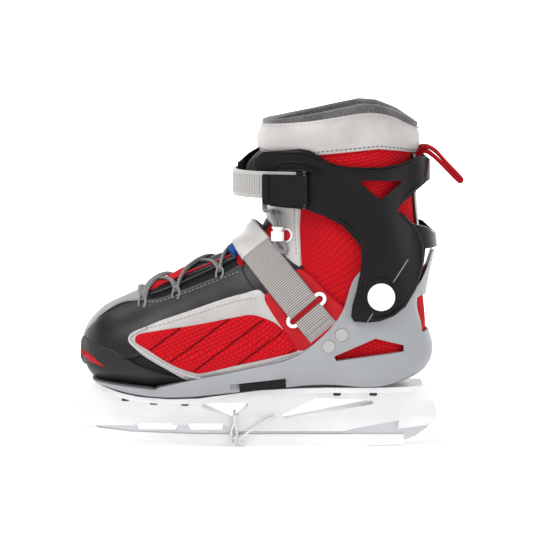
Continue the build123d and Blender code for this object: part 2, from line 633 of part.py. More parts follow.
with BuildPart() as buckle_lever:
    add(hinge_bar(2.6, 23))
    with BuildSketch(buckle_plane.offset(HINGE_W)):
        with Locations(((HINGE_U - 17.5) / 2, 0)):
            Rectangle(HINGE_U + 17.5, 23)
    extrude(amount=2.4)
    with BuildSketch(buckle_plane.offset(HINGE_W + 2.4)):
        with Locations((-15, 0)):
            Rectangle(5, 21)
    extrude(amount=1.4)
    add(hinge_bar(1.0 + RUNNING_FIT, 30), mode=Mode.SUBTRACT)
save(buckle_lever.part, "buckle_lever")

# The ladder strap stands upright, wraps the front of the cuff and ends under the lever.
ladder_path = [(-3.4, 36.7), (-11.7, 30.8), (-19.2, 23.5), (-24.6, 15), (-27.3, 6), (-27.6, -7), (-25.6, -19),
               (-20.5, -29.5), (-12.5, -38.4)]
for u in (-16.5, -8, 0, 8):
    ladder_path.append((13 + u * turn_c - 3.5 * turn_s, -44.4 - u * turn_s - 3.5 * turn_c))

with BuildPart() as ladder_strap:
    with BuildSketch(Plane.XY.offset(198.5)):
        with BuildLine():
            outer_face = Spline(*beside(ladder_path, 1.2))
            inner_face = Spline(*beside(ladder_path, -1.2))
            Line(outer_face @ 0, inner_face @ 0)
            Line(outer_face @ 1, inner_face @ 1)
        make_face()
    extrude(amount=20.5)
save(ladder_strap.part, "ladder_strap")

with BuildPart() as liner_shaft:
    add(shaft_layer(-LINER_WALL, 0, prism(SHAFT)))
save(liner_shaft.part, "liner_shaft")

with BuildPart() as collar_pad:
    add(shaft_layer(GAP, 3.4, prism(COLLAR)))
save(collar_pad.part, "collar_pad")

with BuildPart() as pull_tab:
    add(rounded_prism(PULL_TAB, 0.8, 9, 9))
save(pull_tab.part, "pull_tab")
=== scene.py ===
"""The ice skate's looks: leather, mesh, webbing, laces and plastics over the CAD frame.

The CAD gives the place and size of every body. The boot is drawn as a last, closed sections that fan round
the instep, and each soft piece is a panel cut from a layer of it. Lengths here are millimetres until a mesh
is made; MM turns them into metres.
"""

import bpy
import numpy as np
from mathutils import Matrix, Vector, geometry, kdtree


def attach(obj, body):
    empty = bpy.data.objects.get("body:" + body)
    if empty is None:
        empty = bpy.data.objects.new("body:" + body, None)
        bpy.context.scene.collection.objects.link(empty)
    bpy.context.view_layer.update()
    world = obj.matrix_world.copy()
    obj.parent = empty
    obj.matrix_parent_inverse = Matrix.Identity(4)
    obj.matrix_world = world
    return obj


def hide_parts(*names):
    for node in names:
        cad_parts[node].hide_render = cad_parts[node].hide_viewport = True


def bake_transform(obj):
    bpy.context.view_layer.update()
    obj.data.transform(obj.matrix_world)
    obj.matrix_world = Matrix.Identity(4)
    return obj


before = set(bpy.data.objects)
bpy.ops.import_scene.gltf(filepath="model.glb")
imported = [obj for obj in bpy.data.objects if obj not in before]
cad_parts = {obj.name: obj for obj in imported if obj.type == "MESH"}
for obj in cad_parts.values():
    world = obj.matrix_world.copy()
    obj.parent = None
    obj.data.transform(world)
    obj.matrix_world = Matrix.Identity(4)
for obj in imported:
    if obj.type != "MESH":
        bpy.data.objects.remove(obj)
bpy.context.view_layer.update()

MM = 0.001

# ------------------------------------------------------------ the last and the cuff, as in the CAD
# top x, top z, bottom x, bottom z, half width, height of the widest point, squareness above and below it
LAST = [
    (-144.5, 84.0, -145.0, 74.0, 10.0, 0.50, 2.2, 2.2),
    (-142.3, 92.5, -142.8, 66.0, 19.5, 0.45, 2.2, 2.4),
    (-136.0, 102.0, -137.0, 58.0, 29.0, 0.42, 2.2, 2.8),
    (-126.0, 110.5, -127.0, 55.3, 37.0, 0.38, 2.1, 3.2),
    (-109.0, 118.5, -110.0, 53.6, 43.0, 0.35, 2.0, 3.4),
    (-89.0, 128.0, -88.0, 51.5, 46.0, 0.33, 2.0, 3.6),
    (-67.0, 138.0, -62.0, 51.5, 45.0, 0.33, 1.9, 3.6),
    (-46.0, 146.0, -33.0, 52.0, 42.0, 0.34, 1.9, 3.4),
    (-28.0, 154.0, 5.0, 53.5, 39.0, 0.36, 1.9, 3.0),
    (-15.0, 163.0, 48.0, 55.0, 37.0, 0.40, 2.0, 2.8),
    (-7.0, 171.0, 92.0, 57.0, 36.5, 0.42, 2.1, 2.6),
    (-2.0, 178.0, 115.0, 68.0, 36.5, 0.43, 2.1, 2.5),
    (0.0, 185.0, 121.0, 92.0, 37.0, 0.44, 2.1, 2.4),
    (0.0, 194.0, 119.0, 122.0, 37.5, 0.46, 2.2, 2.3),
    (-2.0, 207.0, 115.0, 160.0, 39.0, 0.48, 2.2, 2.3),
    (-5.0, 222.0, 112.0, 192.0, 40.5, 0.50, 2.3, 2.3),
    (-6.0, 238.0, 111.0, 222.0, 42.0, 0.50, 2.4, 2.3),
    (-4.0, 254.0, 112.0, 249.0, 43.0, 0.50, 2.4, 2.3),
    (0.0, 278.0, 113.0, 276.0, 43.0, 0.50, 2.4, 2.3),
]
CUFF = [
    (-14.0, 88.0, 130.0, 88.0, 45.0, 0.50, 2.6, 3.0),
    (-16.0, 123.0, 131.0, 123.0, 45.5, 0.50, 2.6, 3.0),
    (-19.0, 155.0, 130.0, 152.0, 46.0, 0.50, 2.6, 2.8),
    (-22.0, 185.0, 128.0, 172.0, 46.0, 0.50, 2.4, 2.6),
    (-24.5, 208.0, 125.0, 197.0, 46.0, 0.50, 2.2, 2.5),
    (-25.0, 225.0, 124.0, 218.0, 46.5, 0.50, 2.1, 2.5),
    (-24.0, 246.0, 120.0, 240.0, 46.5, 0.50, 2.1, 2.5),
]


# ------------------------------------------------------------ forms and their charts
CURVE_STEPS = 12  # steps of a smooth curve from one of its points to the next
FINE_STEPS = 24  # steps from one section of a form to the next, where it is measured
GIRTH_TURNS = 60  # points on half a section, where its girth is measured


def unit(vectors, least=1e-9):
    """The vectors at length 1."""
    return vectors / np.maximum(np.linalg.norm(vectors, axis=-1, keepdims=True), least)


def run_of(points):
    """The distance along a polyline to each of its points."""
    return np.concatenate([[0], np.cumsum(np.linalg.norm(np.diff(points, axis=0), axis=1))])


def smooth_rows(rows, u):
    """Catmull-Rom through rows of numbers, at positions u counted in rows."""
    rows = np.asarray(rows, float)
    u = np.asarray(u, float)
    last = len(rows) - 1
    i = np.clip(np.floor(u).astype(int), 0, last - 1)
    f = (u - i)[..., None]
    before, here, after, beyond = (rows[np.clip(i + k, 0, last)] for k in (-1, 0, 1, 2))
    return 0.5 * (
        2 * here
        + (after - before) * f
        + (2 * before - 5 * here + 4 * after - beyond) * f**2
        + (3 * here - before - 3 * after + beyond) * f**3
    )


def along(points, step, closed=False, smooth=False):
    """Points evenly spaced along a polyline, or along a smooth curve through it."""
    points = np.asarray(points, float)
    if smooth:
        ring = np.vstack([points[-1:], points, points[:2]]) if closed else points
        first, final = (1, len(points) + 1) if closed else (0, len(points) - 1)
        points = smooth_rows(ring, np.linspace(first, final, len(points) * CURVE_STEPS + int(closed)))
    elif closed:
        points = np.vstack([points, points[:1]])
    length = run_of(points)
    count = max(2, int(np.ceil(length[-1] / step)) + 1)
    at = np.linspace(0, length[-1], count)
    if not smooth:
        at = np.unique(np.concatenate([at, length]))
        at = at[np.concatenate([[True], np.diff(at) > step * 0.2])]
    out = np.stack([np.interp(at, length, points[:, k]) for k in range(points.shape[1])], 1)
    return out[:-1] if closed else out


class Form:
    """A surface of closed sections. u runs from section to section and a runs round each: 0 at its top or
    front, pi at its bottom or back, negative on the outer side of the foot."""

    def __init__(self, rows, seam_at_front=False):
        self.rows = np.array(rows, float)
        self.seam_at_front = seam_at_front
        self.fine_u = np.linspace(0, len(rows) - 1, (len(rows) - 1) * FINE_STEPS + 1)
        self.fine = smooth_rows(self.rows, self.fine_u)
        self.run = run_of((self.fine[:, 0:2] + self.fine[:, 2:4]) / 2)
        uu, aa = np.meshgrid(self.fine_u, np.linspace(0, np.pi, GIRTH_TURNS), indexing="ij")
        ring = self.point(uu.ravel(), aa.ravel()).reshape(len(self.fine_u), GIRTH_TURNS, 3)
        self.girth = np.linalg.norm(np.diff(ring, axis=1), axis=2).sum(1)

    def point(self, u, a, out=0.0):
        """Points on the surface, moved outwards."""
        tx, tz, bx, bz, w, wide, up, down = smooth_rows(self.rows, u).T
        length = np.hypot(tx - bx, tz - bz)
        dx, dz = (tx - bx) / length, (tz - bz) / length
        grown = length + 2 * out
        wide = (length * wide + out) / grown
        c, s = np.cos(a), np.sin(a)
        power = 2 / np.where(c > 0, up, down)
        t = wide + np.where(c > 0, 1 - wide, -wide) * np.abs(c) ** power
        y = (w + out) * np.sign(s) * np.abs(s) ** power
        return np.stack([bx - dx * out + dx * grown * t, y, bz - dz * out + dz * grown * t], -1)

    def normal(self, u, a):
        """Outward unit normals."""
        e = 1e-3
        du = self.point(u + e, a) - self.point(u - e, a)
        da = self.point(u, a + e) - self.point(u, a - e)
        n = unit(np.cross(da, du), 1e-12)
        outward = self.point(u, a, 1.0) - self.point(u, a)
        return n * np.sign((n * outward).sum(-1, keepdims=True))

    def lifted(self, u, a, out):
        """Points at a true distance outside the surface."""
        return self.point(u, a) + self.normal(u, a) * np.asarray(out)[..., None]

    def locate(self, points):
        """(u, a) on the outer side of the foot for points in side view."""
        points = np.asarray(points, float)
        tx, tz, bx, bz = self.fine[:, 0:4].T
        length = np.hypot(tx - bx, tz - bz)
        dx, dz = (tx - bx) / length, (tz - bz) / length
        out = []
        for x, z in points:
            side = (x - bx) * dz - (z - bz) * dx
            t_all = ((x - bx) * dx + (z - bz) * dz) / length
            crossing = np.nonzero((side[:-1] > 0) & (side[1:] <= 0))[0]
            if len(crossing) == 0:
                k = int(np.argmin(np.abs(side)))
                u, t = self.fine_u[k], t_all[k]
            else:
                k = crossing[int(np.argmin(np.abs(t_all[crossing] - 0.5)))]
                f = side[k] / (side[k] - side[k + 1])
                u = self.fine_u[k] + f * (self.fine_u[k + 1] - self.fine_u[k])
                t = t_all[k] + f * (t_all[k + 1] - t_all[k])
            wide, up, down = smooth_rows(self.rows, np.array(u))[5:8]
            t = min(max(t, 0.0), 1.0)
            c = ((t - wide) / (1 - wide)) ** (up / 2) if t > wide else -(((wide - t) / wide) ** (down / 2))
            out.append((u, -np.arccos(np.clip(c, -1, 1))))
        return np.array(out)

    def place(self, points, out=0.0, far=False):
        """Points in side view put at a distance outside the surface, and the normals there."""
        u, a = self.locate(points).T
        a = -a if far else a
        return self.lifted(u, a, np.broadcast_to(out, u.shape)), self.normal(u, a)

    def chart(self, points, far=False):
        """Flat coordinates, about true to size, of points in side view."""
        u, a = self.locate(points).T
        a = -a if far else a
        if self.seam_at_front:
            a = np.where(a > 0, a - np.pi, a + np.pi) if far else a + np.pi
        return np.stack([self.run_at(u), a * self.half_girth(u) / np.pi], 1)

    def run_at(self, u):
        return np.interp(u, self.fine_u, self.run)

    def half_girth(self, u):
        return np.interp(u, self.fine_u, self.girth)

    def unchart(self, flat):
        """(u, a) of flat coordinates."""
        u = np.interp(flat[:, 0], self.run, self.fine_u)
        a = flat[:, 1] * np.pi / self.half_girth(u)
        return u, (a + np.pi if self.seam_at_front else a)

    def flat_point(self, flat, out=0.0):
        u, a = self.unchart(flat)
        return self.lifted(u, a, np.broadcast_to(out, u.shape))


last = Form(LAST)
cuff = Form(CUFF, seam_at_front=True)


# ------------------------------------------------------------ panels cut from a form
def inside(points, loop):
    """Which points lie inside a closed loop."""
    x, y = points[:, 0][:, None], points[:, 1][:, None]
    x0, y0 = loop[:, 0], loop[:, 1]
    x1, y1 = np.roll(x0, -1), np.roll(y0, -1)
    crosses = (y0 > y) != (y1 > y)
    safe = np.where(y1 == y0, 1e-9, y1 - y0)
    return (crosses & (x < (x1 - x0) * (y - y0) / safe + x0)).sum(1) % 2 == 1


def nearest(points, targets):
    """Distance from each point to the nearest target."""
    tree = kdtree.KDTree(len(targets))
    for i, t in enumerate(targets):
        tree.insert(t, i)
    tree.balance()
    return np.array([tree.find(p)[2] for p in points])


def spaced(form, loop, step):
    """A closed loop in the chart with no segment longer than step on the surface."""
    out = []
    solid = form.flat_point(loop)
    for k in range(len(loop)):
        nxt = (k + 1) % len(loop)
        pieces = max(1, int(np.ceil(np.linalg.norm(solid[nxt] - solid[k]) / step)))
        for j in range(pieces):
            out.append(loop[k] + (loop[nxt] - loop[k]) * j / pieces)
    return np.array(out)


def inset(form, loop, distance):
    """The loop moved inwards on the surface."""
    e = 0.05
    here = form.flat_point(loop)
    ju = (form.flat_point(loop + [e, 0]) - here) / e
    jv = (form.flat_point(loop + [0, e]) - here) / e
    tangent = np.roll(loop, -1, 0) - np.roll(loop, 1, 0)
    turn = np.sign((loop[:, 0] * np.roll(loop[:, 1], -1) - np.roll(loop[:, 0], -1) * loop[:, 1]).sum())
    solid_tangent = unit(ju * tangent[:, :1] + jv * tangent[:, 1:])
    inward = np.cross(unit(np.cross(ju, jv)), solid_tangent) * turn
    a, b, c = (ju * ju).sum(1), (ju * jv).sum(1), (jv * jv).sum(1)
    p, q = (inward * ju).sum(1), (inward * jv).sum(1)
    det = np.maximum(a * c - b * b, 1e-9)
    return loop + distance * np.stack([(c * p - b * q) / det, (a * q - b * p) / det], 1)


def build_mesh(name, verts, faces, material=None, uvs=None, smooth=True, mirror=None):
    """A mesh object from points in millimetres. mirror adds the same shape on the inner side of the foot and
    multiplies its flat coordinates."""
    verts = np.asarray(verts, float)
    if mirror is not None:
        faces = [*faces, *[np.asarray(f)[::-1] + len(verts) for f in faces]]
        verts = np.vstack([verts, verts * [1, -1, 1]])
        uvs = None if uvs is None else np.vstack([uvs, np.asarray(uvs) * mirror])
    mesh = bpy.data.meshes.new(name)
    mesh.from_pydata([tuple(v * MM) for v in verts], [], [tuple(map(int, f)) for f in faces])
    if uvs is not None:
        layer = mesh.uv_layers.new(name="flat")
        index = np.zeros(len(mesh.loops), int)
        mesh.loops.foreach_get("vertex_index", index)
        layer.data.foreach_set("uv", (np.asarray(uvs)[index] * MM).astype(np.float32).ravel())
    mesh.polygons.foreach_set("use_smooth", [smooth] * len(mesh.polygons))
    mesh.update()
    if material:
        mesh.materials.append(material)
    obj = bpy.data.objects.new(name, mesh)
    bpy.context.scene.collection.objects.link(obj)
    return obj


def grid_faces(rows, cols, wrap=True, loop=False, ends=False, first=0, turned=False):
    """Quads over a grid of points. wrap joins the ends of each row, loop joins the last row to the first and
    ends closes both rows. first is the grid's first point, and turned faces the quads the other way."""
    faces = []
    for r in range(rows if loop else rows - 1):
        here, there = first + r * cols, first + (r + 1) % rows * cols
        for c in range(cols if wrap else cols - 1):
            d = (c + 1) % cols
            near, far = (there + c, here + d) if turned else (here + d, there + c)
            faces.append((here + c, near, there + d, far))
    if ends:
        bottom, top = tuple(range(first, first + cols)), tuple(range(first + (rows - 1) * cols,
                                                                     first + rows * cols))
        faces += [bottom, top[::-1]] if turned else [bottom[::-1], top]
    return faces


RIM_STEP = 0.35  # spacing of the points on a panel's rim that distances are measured to
RIM_REACH = 0.12  # a distance below this counts as on the rim
ROW_PITCH = 0.87  # height of a row of even triangles, by their side


def panel(name, form, loop, material, low, high, edge=1.2, step=2.0, relief=None, lift=None, backed=False,
          mirrored=False, folded=False):
    """A panel cut from a layer of a form. loop is a closed loop in its chart, and the panel rises from low to
    high, its edge rounded over the width edge. relief(flat) adds to the height and lift(flat) to the whole
    layer. folded gives both sides of the foot the same pattern."""
    loop = spaced(form, loop, step * 0.6)
    rim_solid = form.flat_point(spaced(form, loop, RIM_STEP))
    points = [loop]
    for share in (0.10, 0.3, 0.6, 1.0):
        ring = inset(form, loop, edge * share)
        points.append(ring[nearest(form.flat_point(ring), rim_solid) > edge * share * 0.9])
    lo, hi = loop.min(0), loop.max(0)
    gx, gy = np.meshgrid(np.arange(lo[0], hi[0], step), np.arange(lo[1], hi[1], step * ROW_PITCH))
    gx[::2] += step / 2
    grid = np.stack([gx.ravel(), gy.ravel()], 1)
    grid = grid[inside(grid, loop)]
    points.append(grid[nearest(form.flat_point(grid), rim_solid) > edge + step * 0.45])
    rim = [(k, (k + 1) % len(loop)) for k in range(len(loop))]
    flat = [Vector(p) for p in np.vstack(points)]
    verts, _, faces, *_ = geometry.delaunay_2d_cdt(flat, rim, [], 1, 1e-5)
    flat = np.array([tuple(v) for v in verts])
    faces = np.array([f for f in faces if len(f) == 3])
    solid = form.flat_point(flat)
    gap = np.clip(nearest(solid, rim_solid) - RIM_REACH, 0, None)
    rise = (high - low) * np.sqrt(1 - (1 - np.clip(gap / edge, 0, 1)) ** 2)
    if relief is not None:
        rise = rise + relief(flat) * np.clip(gap / edge, 0, 1)
    under = low + (lift(flat) if lift is not None else np.zeros(len(flat)))
    top = form.flat_point(flat, under + rise)
    corner = top[faces]
    face_normal = np.cross(corner[:, 1] - corner[:, 0], corner[:, 2] - corner[:, 0])
    u, a = form.unchart(flat[faces].mean(1))
    flip = (face_normal * form.normal(u, a)).sum(1) < 0
    faces[flip] = faces[flip][:, ::-1]
    uvs = np.stack([flat[:, 0], -np.abs(flat[:, 1])], 1) if folded else flat
    if backed:
        on_rim = rise < 1e-6
        order = np.cumsum(~on_rim) - 1 + len(top)
        back_index = np.where(on_rim, np.arange(len(top)), order)
        top = np.vstack([top, form.flat_point(flat[~on_rim], under[~on_rim])])
        uvs = np.vstack([uvs, uvs[~on_rim]])
        faces = np.vstack([faces, back_index[faces][:, ::-1]])
    return build_mesh(name, top, faces, material, uvs, mirror=(1, -1) if mirrored else None)


# ------------------------------------------------------------ tubes and stitches
def frames(path):
    """Side and up along a path, carried without twist."""
    path = np.asarray(path, float)
    tangent = unit(np.gradient(path, axis=0))
    side = np.zeros_like(path)
    seed = np.array([0, 0, 1.0]) if abs(tangent[0][2]) < 0.8 else np.array([1.0, 0, 0])
    side[0] = unit(np.cross(tangent[0], seed))
    for k in range(1, len(path)):
        side[k] = unit(side[k - 1] - tangent[k] * (side[k - 1] @ tangent[k]))
    return side, np.cross(tangent, side)


def tube(name, path, radius, material, sides=12, strands=0, pitch=6.0, closed=False, flat=1.0,
         mirrored=False):
    """A cord along a path; with strands it is lobed and laid like rope. flat squeezes it."""
    path = np.asarray(path, float)
    side, up = frames(path)
    length = run_of(path)
    turn = np.linspace(0, 2 * np.pi, sides, endpoint=False)
    radius = np.broadcast_to(radius, len(path))
    verts, uvs = [], []
    for k, p in enumerate(path):
        r = radius[k]
        if strands:
            lobes = np.abs(np.cos((turn * strands + length[k] / pitch * 2 * np.pi * strands) / 2))
            r = r * (1 + 0.16 * lobes - 0.1)
        verts.append(p + np.outer(np.cos(turn) * r, side[k]) + np.outer(np.sin(turn) * r * flat, up[k]))
        uvs.append(np.stack([np.full(sides, length[k]), turn * radius[k]], 1))
    faces = grid_faces(len(path), sides, loop=closed, ends=not closed)
    return build_mesh(name, np.vstack(verts), faces, material, np.vstack(uvs),
                      mirror=(1, 1) if mirrored else None)


# each stitch is a small spindle: stops along it, and its thickness and height there
STITCH_STOPS = np.array([0, 0.18, 0.5, 0.82, 1.0])
STITCH_SIZES = np.array([0.35, 0.9, 1.0, 0.9, 0.35])
STITCH_LIFTS = np.array([-0.3, 0.25, 0.45, 0.25, -0.3])
STITCH_SIDES = 6


def stitches(name, path, normals, material, length=2.2, gap=1.1, thick=0.36, mirrored=False):
    """A row of sewn stitches along a path on a surface."""
    path, normals = np.asarray(path, float), np.asarray(normals, float)
    run = run_of(path)
    at = lambda s, rows: np.stack([np.interp(s, run, rows[:, k]) for k in range(3)], -1)
    verts, faces = [], []
    for s in np.arange(gap / 2, run[-1] - length, length + gap):
        stops = s + length * STITCH_STOPS
        centre, up = at(stops, path), unit(at(stops, normals))
        across = np.cross(unit(centre[-1] - centre[0]), up)
        faces += grid_faces(len(STITCH_STOPS), STITCH_SIDES, first=len(verts))
        for k, (size, lift) in enumerate(zip(thick * STITCH_SIZES, thick * STITCH_LIFTS)):
            for t in np.linspace(0, 2 * np.pi, STITCH_SIDES, endpoint=False):
                verts.append(centre[k] + up[k] * lift + size * (np.cos(t) * across[k] + np.sin(t) * up[k]))
    return build_mesh(name, verts, faces, material, mirror=(1, 1) if mirrored else None)


# ------------------------------------------------------------ materials
SPECULAR = 0.3  # a little less than bare plastic, for worn and textured surfaces


def shader(name, colour, roughness, metallic=0.0, sheen=0.0, specular=SPECULAR):
    """A new material with its Principled shader."""
    mat = bpy.data.materials.new(name)
    mat.use_nodes = True
    tree = mat.node_tree
    bsdf = tree.nodes["Principled BSDF"]
    bsdf.inputs["Base Color"].default_value = (*colour, 1)
    bsdf.inputs["Roughness"].default_value = roughness
    bsdf.inputs["Metallic"].default_value = metallic
    bsdf.inputs["Sheen Weight"].default_value = sheen
    bsdf.inputs["Specular IOR Level"].default_value = specular
    return mat, tree, bsdf


def add_node(tree, kind, **values):
    """A node with its sockets set."""
    node = tree.nodes.new(kind)
    for key, value in values.items():
        if key in node.inputs:
            node.inputs[key].default_value = value
        else:
            setattr(node, key, value)
    return node

def texture(tree, kind, output, flat=False, turn=0.0, stretch=(1, 1, 1), **values):
    """A texture over the object in metres, or over its flat pattern, turned or stretched."""
    coords = tree.nodes.new("ShaderNodeTexCoord")
    mapping = add_node(tree, "ShaderNodeMapping", Rotation=(0, 0, np.radians(turn)), Scale=stretch)
    node = add_node(tree, "ShaderNodeTex" + kind, **values)
    tree.links.new(coords.outputs["UV" if flat else "Object"], mapping.inputs["Vector"])
    tree.links.new(mapping.outputs["Vector"], node.inputs["Vector"])
    return node.outputs[output]


def noise(tree, scale, detail=4.0, stretch=(1, 1, 1)):
    """Noise over the object."""
    return texture(tree, "Noise", "Fac", stretch=stretch, Scale=scale, Detail=detail)


WAVE_LENGTH = 0.314  # period in metres of a wave texture of scale 1


def waves(tree, period, angle=0.0):
    """Straight ribs of that period in metres, turned by an angle in the flat pattern."""
    return texture(tree, "Wave", "Fac", flat=True, turn=angle, Scale=WAVE_LENGTH / period)


def cells(tree, scale):
    """Distance to the middle of irregular cells."""
    return texture(tree, "Voronoi", "Distance", Scale=scale)

def maths(tree, operation, a, b):
    """One sum of two sockets or numbers."""
    node = tree.nodes.new("ShaderNodeMath")
    node.operation = operation
    for socket, value in zip(node.inputs, (a, b)):
        if isinstance(value, (int, float)):
            socket.default_value = value
        else:
            tree.links.new(value, socket)
    return node.outputs[0]

def modulated(tree, base, by, low, high):
    """One factor times another that is first brought between low and high."""
    return maths(tree, "MULTIPLY", base, maths(tree, "ADD", maths(tree, "MULTIPLY", by, high - low), low))

def bump(tree, bsdf, height, distance, strength=1.0):
    """Relief of that depth in metres, on top of any the shader has."""
    node = add_node(tree, "ShaderNodeBump", Strength=strength, Distance=distance)
    tree.links.new(height, node.inputs["Height"])
    before = bsdf.inputs["Normal"].links
    if before:
        tree.links.new(before[0].from_socket, node.inputs["Normal"])
    tree.links.new(node.outputs["Normal"], bsdf.inputs["Normal"])


def tint(tree, bsdf, factor, dark, light):
    """Base colour between two colours."""
    ramp = tree.nodes.new("ShaderNodeValToRGB")
    ramp.color_ramp.elements[0].position = 0.25
    ramp.color_ramp.elements[0].color = (*dark, 1)
    ramp.color_ramp.elements[1].position = 0.75
    ramp.color_ramp.elements[1].color = (*light, 1)
    tree.links.new(factor, ramp.inputs["Fac"])
    tree.links.new(ramp.outputs["Color"], bsdf.inputs["Base Color"])


def vary_roughness(tree, bsdf, factor, low, high):
    """Roughness between two values."""
    node = add_node(tree, "ShaderNodeMapRange")
    node.inputs["To Min"].default_value = low
    node.inputs["To Max"].default_value = high
    tree.links.new(factor, node.inputs["Value"])
    tree.links.new(node.outputs["Result"], bsdf.inputs["Roughness"])


def scaled(colour, k):
    return tuple(min(1.0, c * k) for c in colour)


def moulded(name, colour, roughness, grain=0.00004, specular=SPECULAR):
    """Injection-moulded plastic: a fine spark texture and slightly uneven gloss."""
    mat, tree, bsdf = shader(name, colour, roughness, specular=specular)
    cloud = noise(tree, 28, 5)
    tint(tree, bsdf, cloud, scaled(colour, 0.93), scaled(colour, 1.04))
    vary_roughness(tree, bsdf, cloud, roughness - 0.07, roughness + 0.09)
    bump(tree, bsdf, noise(tree, 2600, 2), grain, 0.5)
    return mat


def leather(name, colour, roughness, scale=1100, depth=0.00012, metallic=0.0, specular=SPECULAR):
    """Grained synthetic leather with soft creases."""
    mat, tree, bsdf = shader(name, colour, roughness, metallic=metallic, specular=specular)
    grain = cells(tree, scale)
    cloud = noise(tree, 45, 6)
    tint(tree, bsdf, cloud, scaled(colour, 0.82), scaled(colour, 1.12))
    vary_roughness(tree, bsdf, grain, roughness - 0.06, roughness + 0.12)
    bump(tree, bsdf, grain, depth, 0.45)
    bump(tree, bsdf, noise(tree, 70, 3, stretch=(1, 1, 2.5)), 0.0006, 0.35)
    return mat


def knit(tree, width, height, angle):
    """Rows of staggered short loops, width by height in metres: 1 on a loop and 0 between loops."""
    sizes = {"Brick Width": width, "Row Height": height, "Mortar Size": height * 0.24, "Mortar Smooth": 1.0}
    return maths(tree, "SUBTRACT", 1.0, texture(tree, "Brick", "Fac", flat=True, turn=angle, offset=0.5,
                                                Scale=1.0, **sizes))


def rib_mesh(name, colour, width, height, angle, depth=0.0003):
    """Knitted mesh: rows of short raised loops over fine threads, its colour darker between the loops and
    threads as painted shade, with random tone.
    """
    mat, tree, bsdf = shader(name, colour, 0.85, sheen=0.02, specular=0.08)
    threads = waves(tree, height * 0.33, angle + 45)
    weave = modulated(tree, knit(tree, width, height, angle), threads, 0.75, 1.0)
    loop_shade_and_tone = modulated(tree, weave, noise(tree, 40), 0.8, 1.2)
    tint(tree, bsdf, loop_shade_and_tone, scaled(colour, 0.6), scaled(colour, 1.08))
    bump(tree, bsdf, weave, depth, 0.8)
    bump(tree, bsdf, noise(tree, 1500, 2), 0.0001, 0.4)
    return mat


def webbing(name, colour, period):
    """Woven tape with ribs across it, its colour darker between the ribs and threads as painted shade."""
    mat, tree, bsdf = shader(name, colour, 0.75, sheen=0.02, specular=0.12)
    ribs = waves(tree, period)
    threads = waves(tree, 0.0006, 90)
    tint(tree, bsdf, modulated(tree, ribs, threads, 0.65, 1.0), scaled(colour, 0.42), scaled(colour, 1.15))
    bump(tree, bsdf, threads, 0.00015, 0.5)
    bump(tree, bsdf, ribs, 0.0003, 0.8)
    return mat


def plush(name, colour):
    """Short-piled lining."""
    mat, tree, bsdf = shader(name, colour, 0.95, sheen=0.25)
    pile = noise(tree, 900, 3)
    patches = noise(tree, 60, 4)
    tint(tree, bsdf, maths(tree, "MULTIPLY", pile, maths(tree, "ADD", patches, 0.4)), scaled(colour, 0.45),
         scaled(colour, 1.5))
    bump(tree, bsdf, pile, 0.0007, 0.9)
    return mat


def braid(name, colour, period=0.0022, shade=0.5):
    """Braided lace: two sets of slanting threads, darker where they dip, as painted shade down to shade times
    the colour.
    """
    mat, tree, bsdf = shader(name, colour, 0.8, sheen=0.05)
    both = maths(tree, "MULTIPLY", waves(tree, period, 35), waves(tree, period, -35))
    tint(tree, bsdf, both, scaled(colour, shade), scaled(colour, 1.2))
    bump(tree, bsdf, both, 0.0004, 0.8)
    return mat


def metal(name, colour, roughness=0.3, stretch=(0.05, 1, 1)):
    """Steel with fine grinding marks along it."""
    mat, tree, bsdf = shader(name, colour, roughness, metallic=1.0)
    marks = noise(tree, 900, 3, stretch=stretch)
    vary_roughness(tree, bsdf, marks, roughness - 0.08, roughness + 0.14)
    bump(tree, bsdf, marks, 0.00003, 0.5)
    return mat


RED = (0.50, 0.006, 0.012)
SHELL = moulded("shell_plastic", (0.31, 0.32, 0.335), 0.40)
HOLDER = moulded("holder_plastic", (0.75, 0.755, 0.765), 0.34)
GUARD = moulded("guard_plastic", (0.80, 0.80, 0.81), 0.38)
WHITE = moulded("white_plastic", (0.84, 0.85, 0.86), 0.38)
BLACK = moulded("cuff_plastic", (0.006, 0.005, 0.0055), 0.32, grain=0.00006, specular=0.16)
SLIDER = moulded("slider_plastic", (0.008, 0.008, 0.009), 0.45, specular=0.15)
BLACK_LEATHER = leather("black_leather", (0.008, 0.007, 0.009), 0.34, specular=0.28)
CAP_LEATHER = leather("cap_leather", (0.011, 0.010, 0.011), 0.42, scale=800, specular=0.32)
SILVER = leather("silver_leather", (0.46, 0.44, 0.43), 0.38, scale=1500, depth=0.00006, metallic=0.1)
GREY_RAND = leather("grey_rand", (0.30, 0.30, 0.31), 0.55, scale=1300)
RED_LEATHER = leather("red_leather", (0.42, 0.008, 0.014), 0.5, scale=1600, depth=0.00006, specular=0.15)
RED_MESH = rib_mesh("red_mesh", RED, width=0.0038, height=0.0023, angle=70)
RED_QUILT = rib_mesh("red_quilt", RED, width=0.0036, height=0.0022, angle=-8)
RED_TAPE = webbing("red_tape", RED, period=0.0012)
WEBBING = webbing("grey_webbing", (0.42, 0.39, 0.375), period=0.0017)
LADDER = moulded("ladder_plastic", (0.40, 0.39, 0.375), 0.38)
FLAP_GREY = moulded("flap_plastic", (0.15, 0.15, 0.155), 0.45)
PLUSH = plush("grey_plush", (0.11, 0.106, 0.106))
LACE = braid("grey_lace", (0.28, 0.28, 0.285))
LOOP_TAPE = webbing("loop_tape", (0.34, 0.34, 0.35), period=0.0009)
CORD = braid("lock_cord", (0.36, 0.36, 0.365), period=0.0012)
# grey thread for the stitches, also the painted highlight lines on the cuff's ridges
GREY_THREAD_AND_HIGHLIGHT = shader("grey_thread_and_highlight", (0.26, 0.26, 0.27), 0.7)[0]
THREAD_DARK = shader("thread_dark", (0.09, 0.085, 0.085), 0.7)[0]
THREAD_LIGHT = shader("thread_light", (0.50, 0.49, 0.49), 0.7)[0]
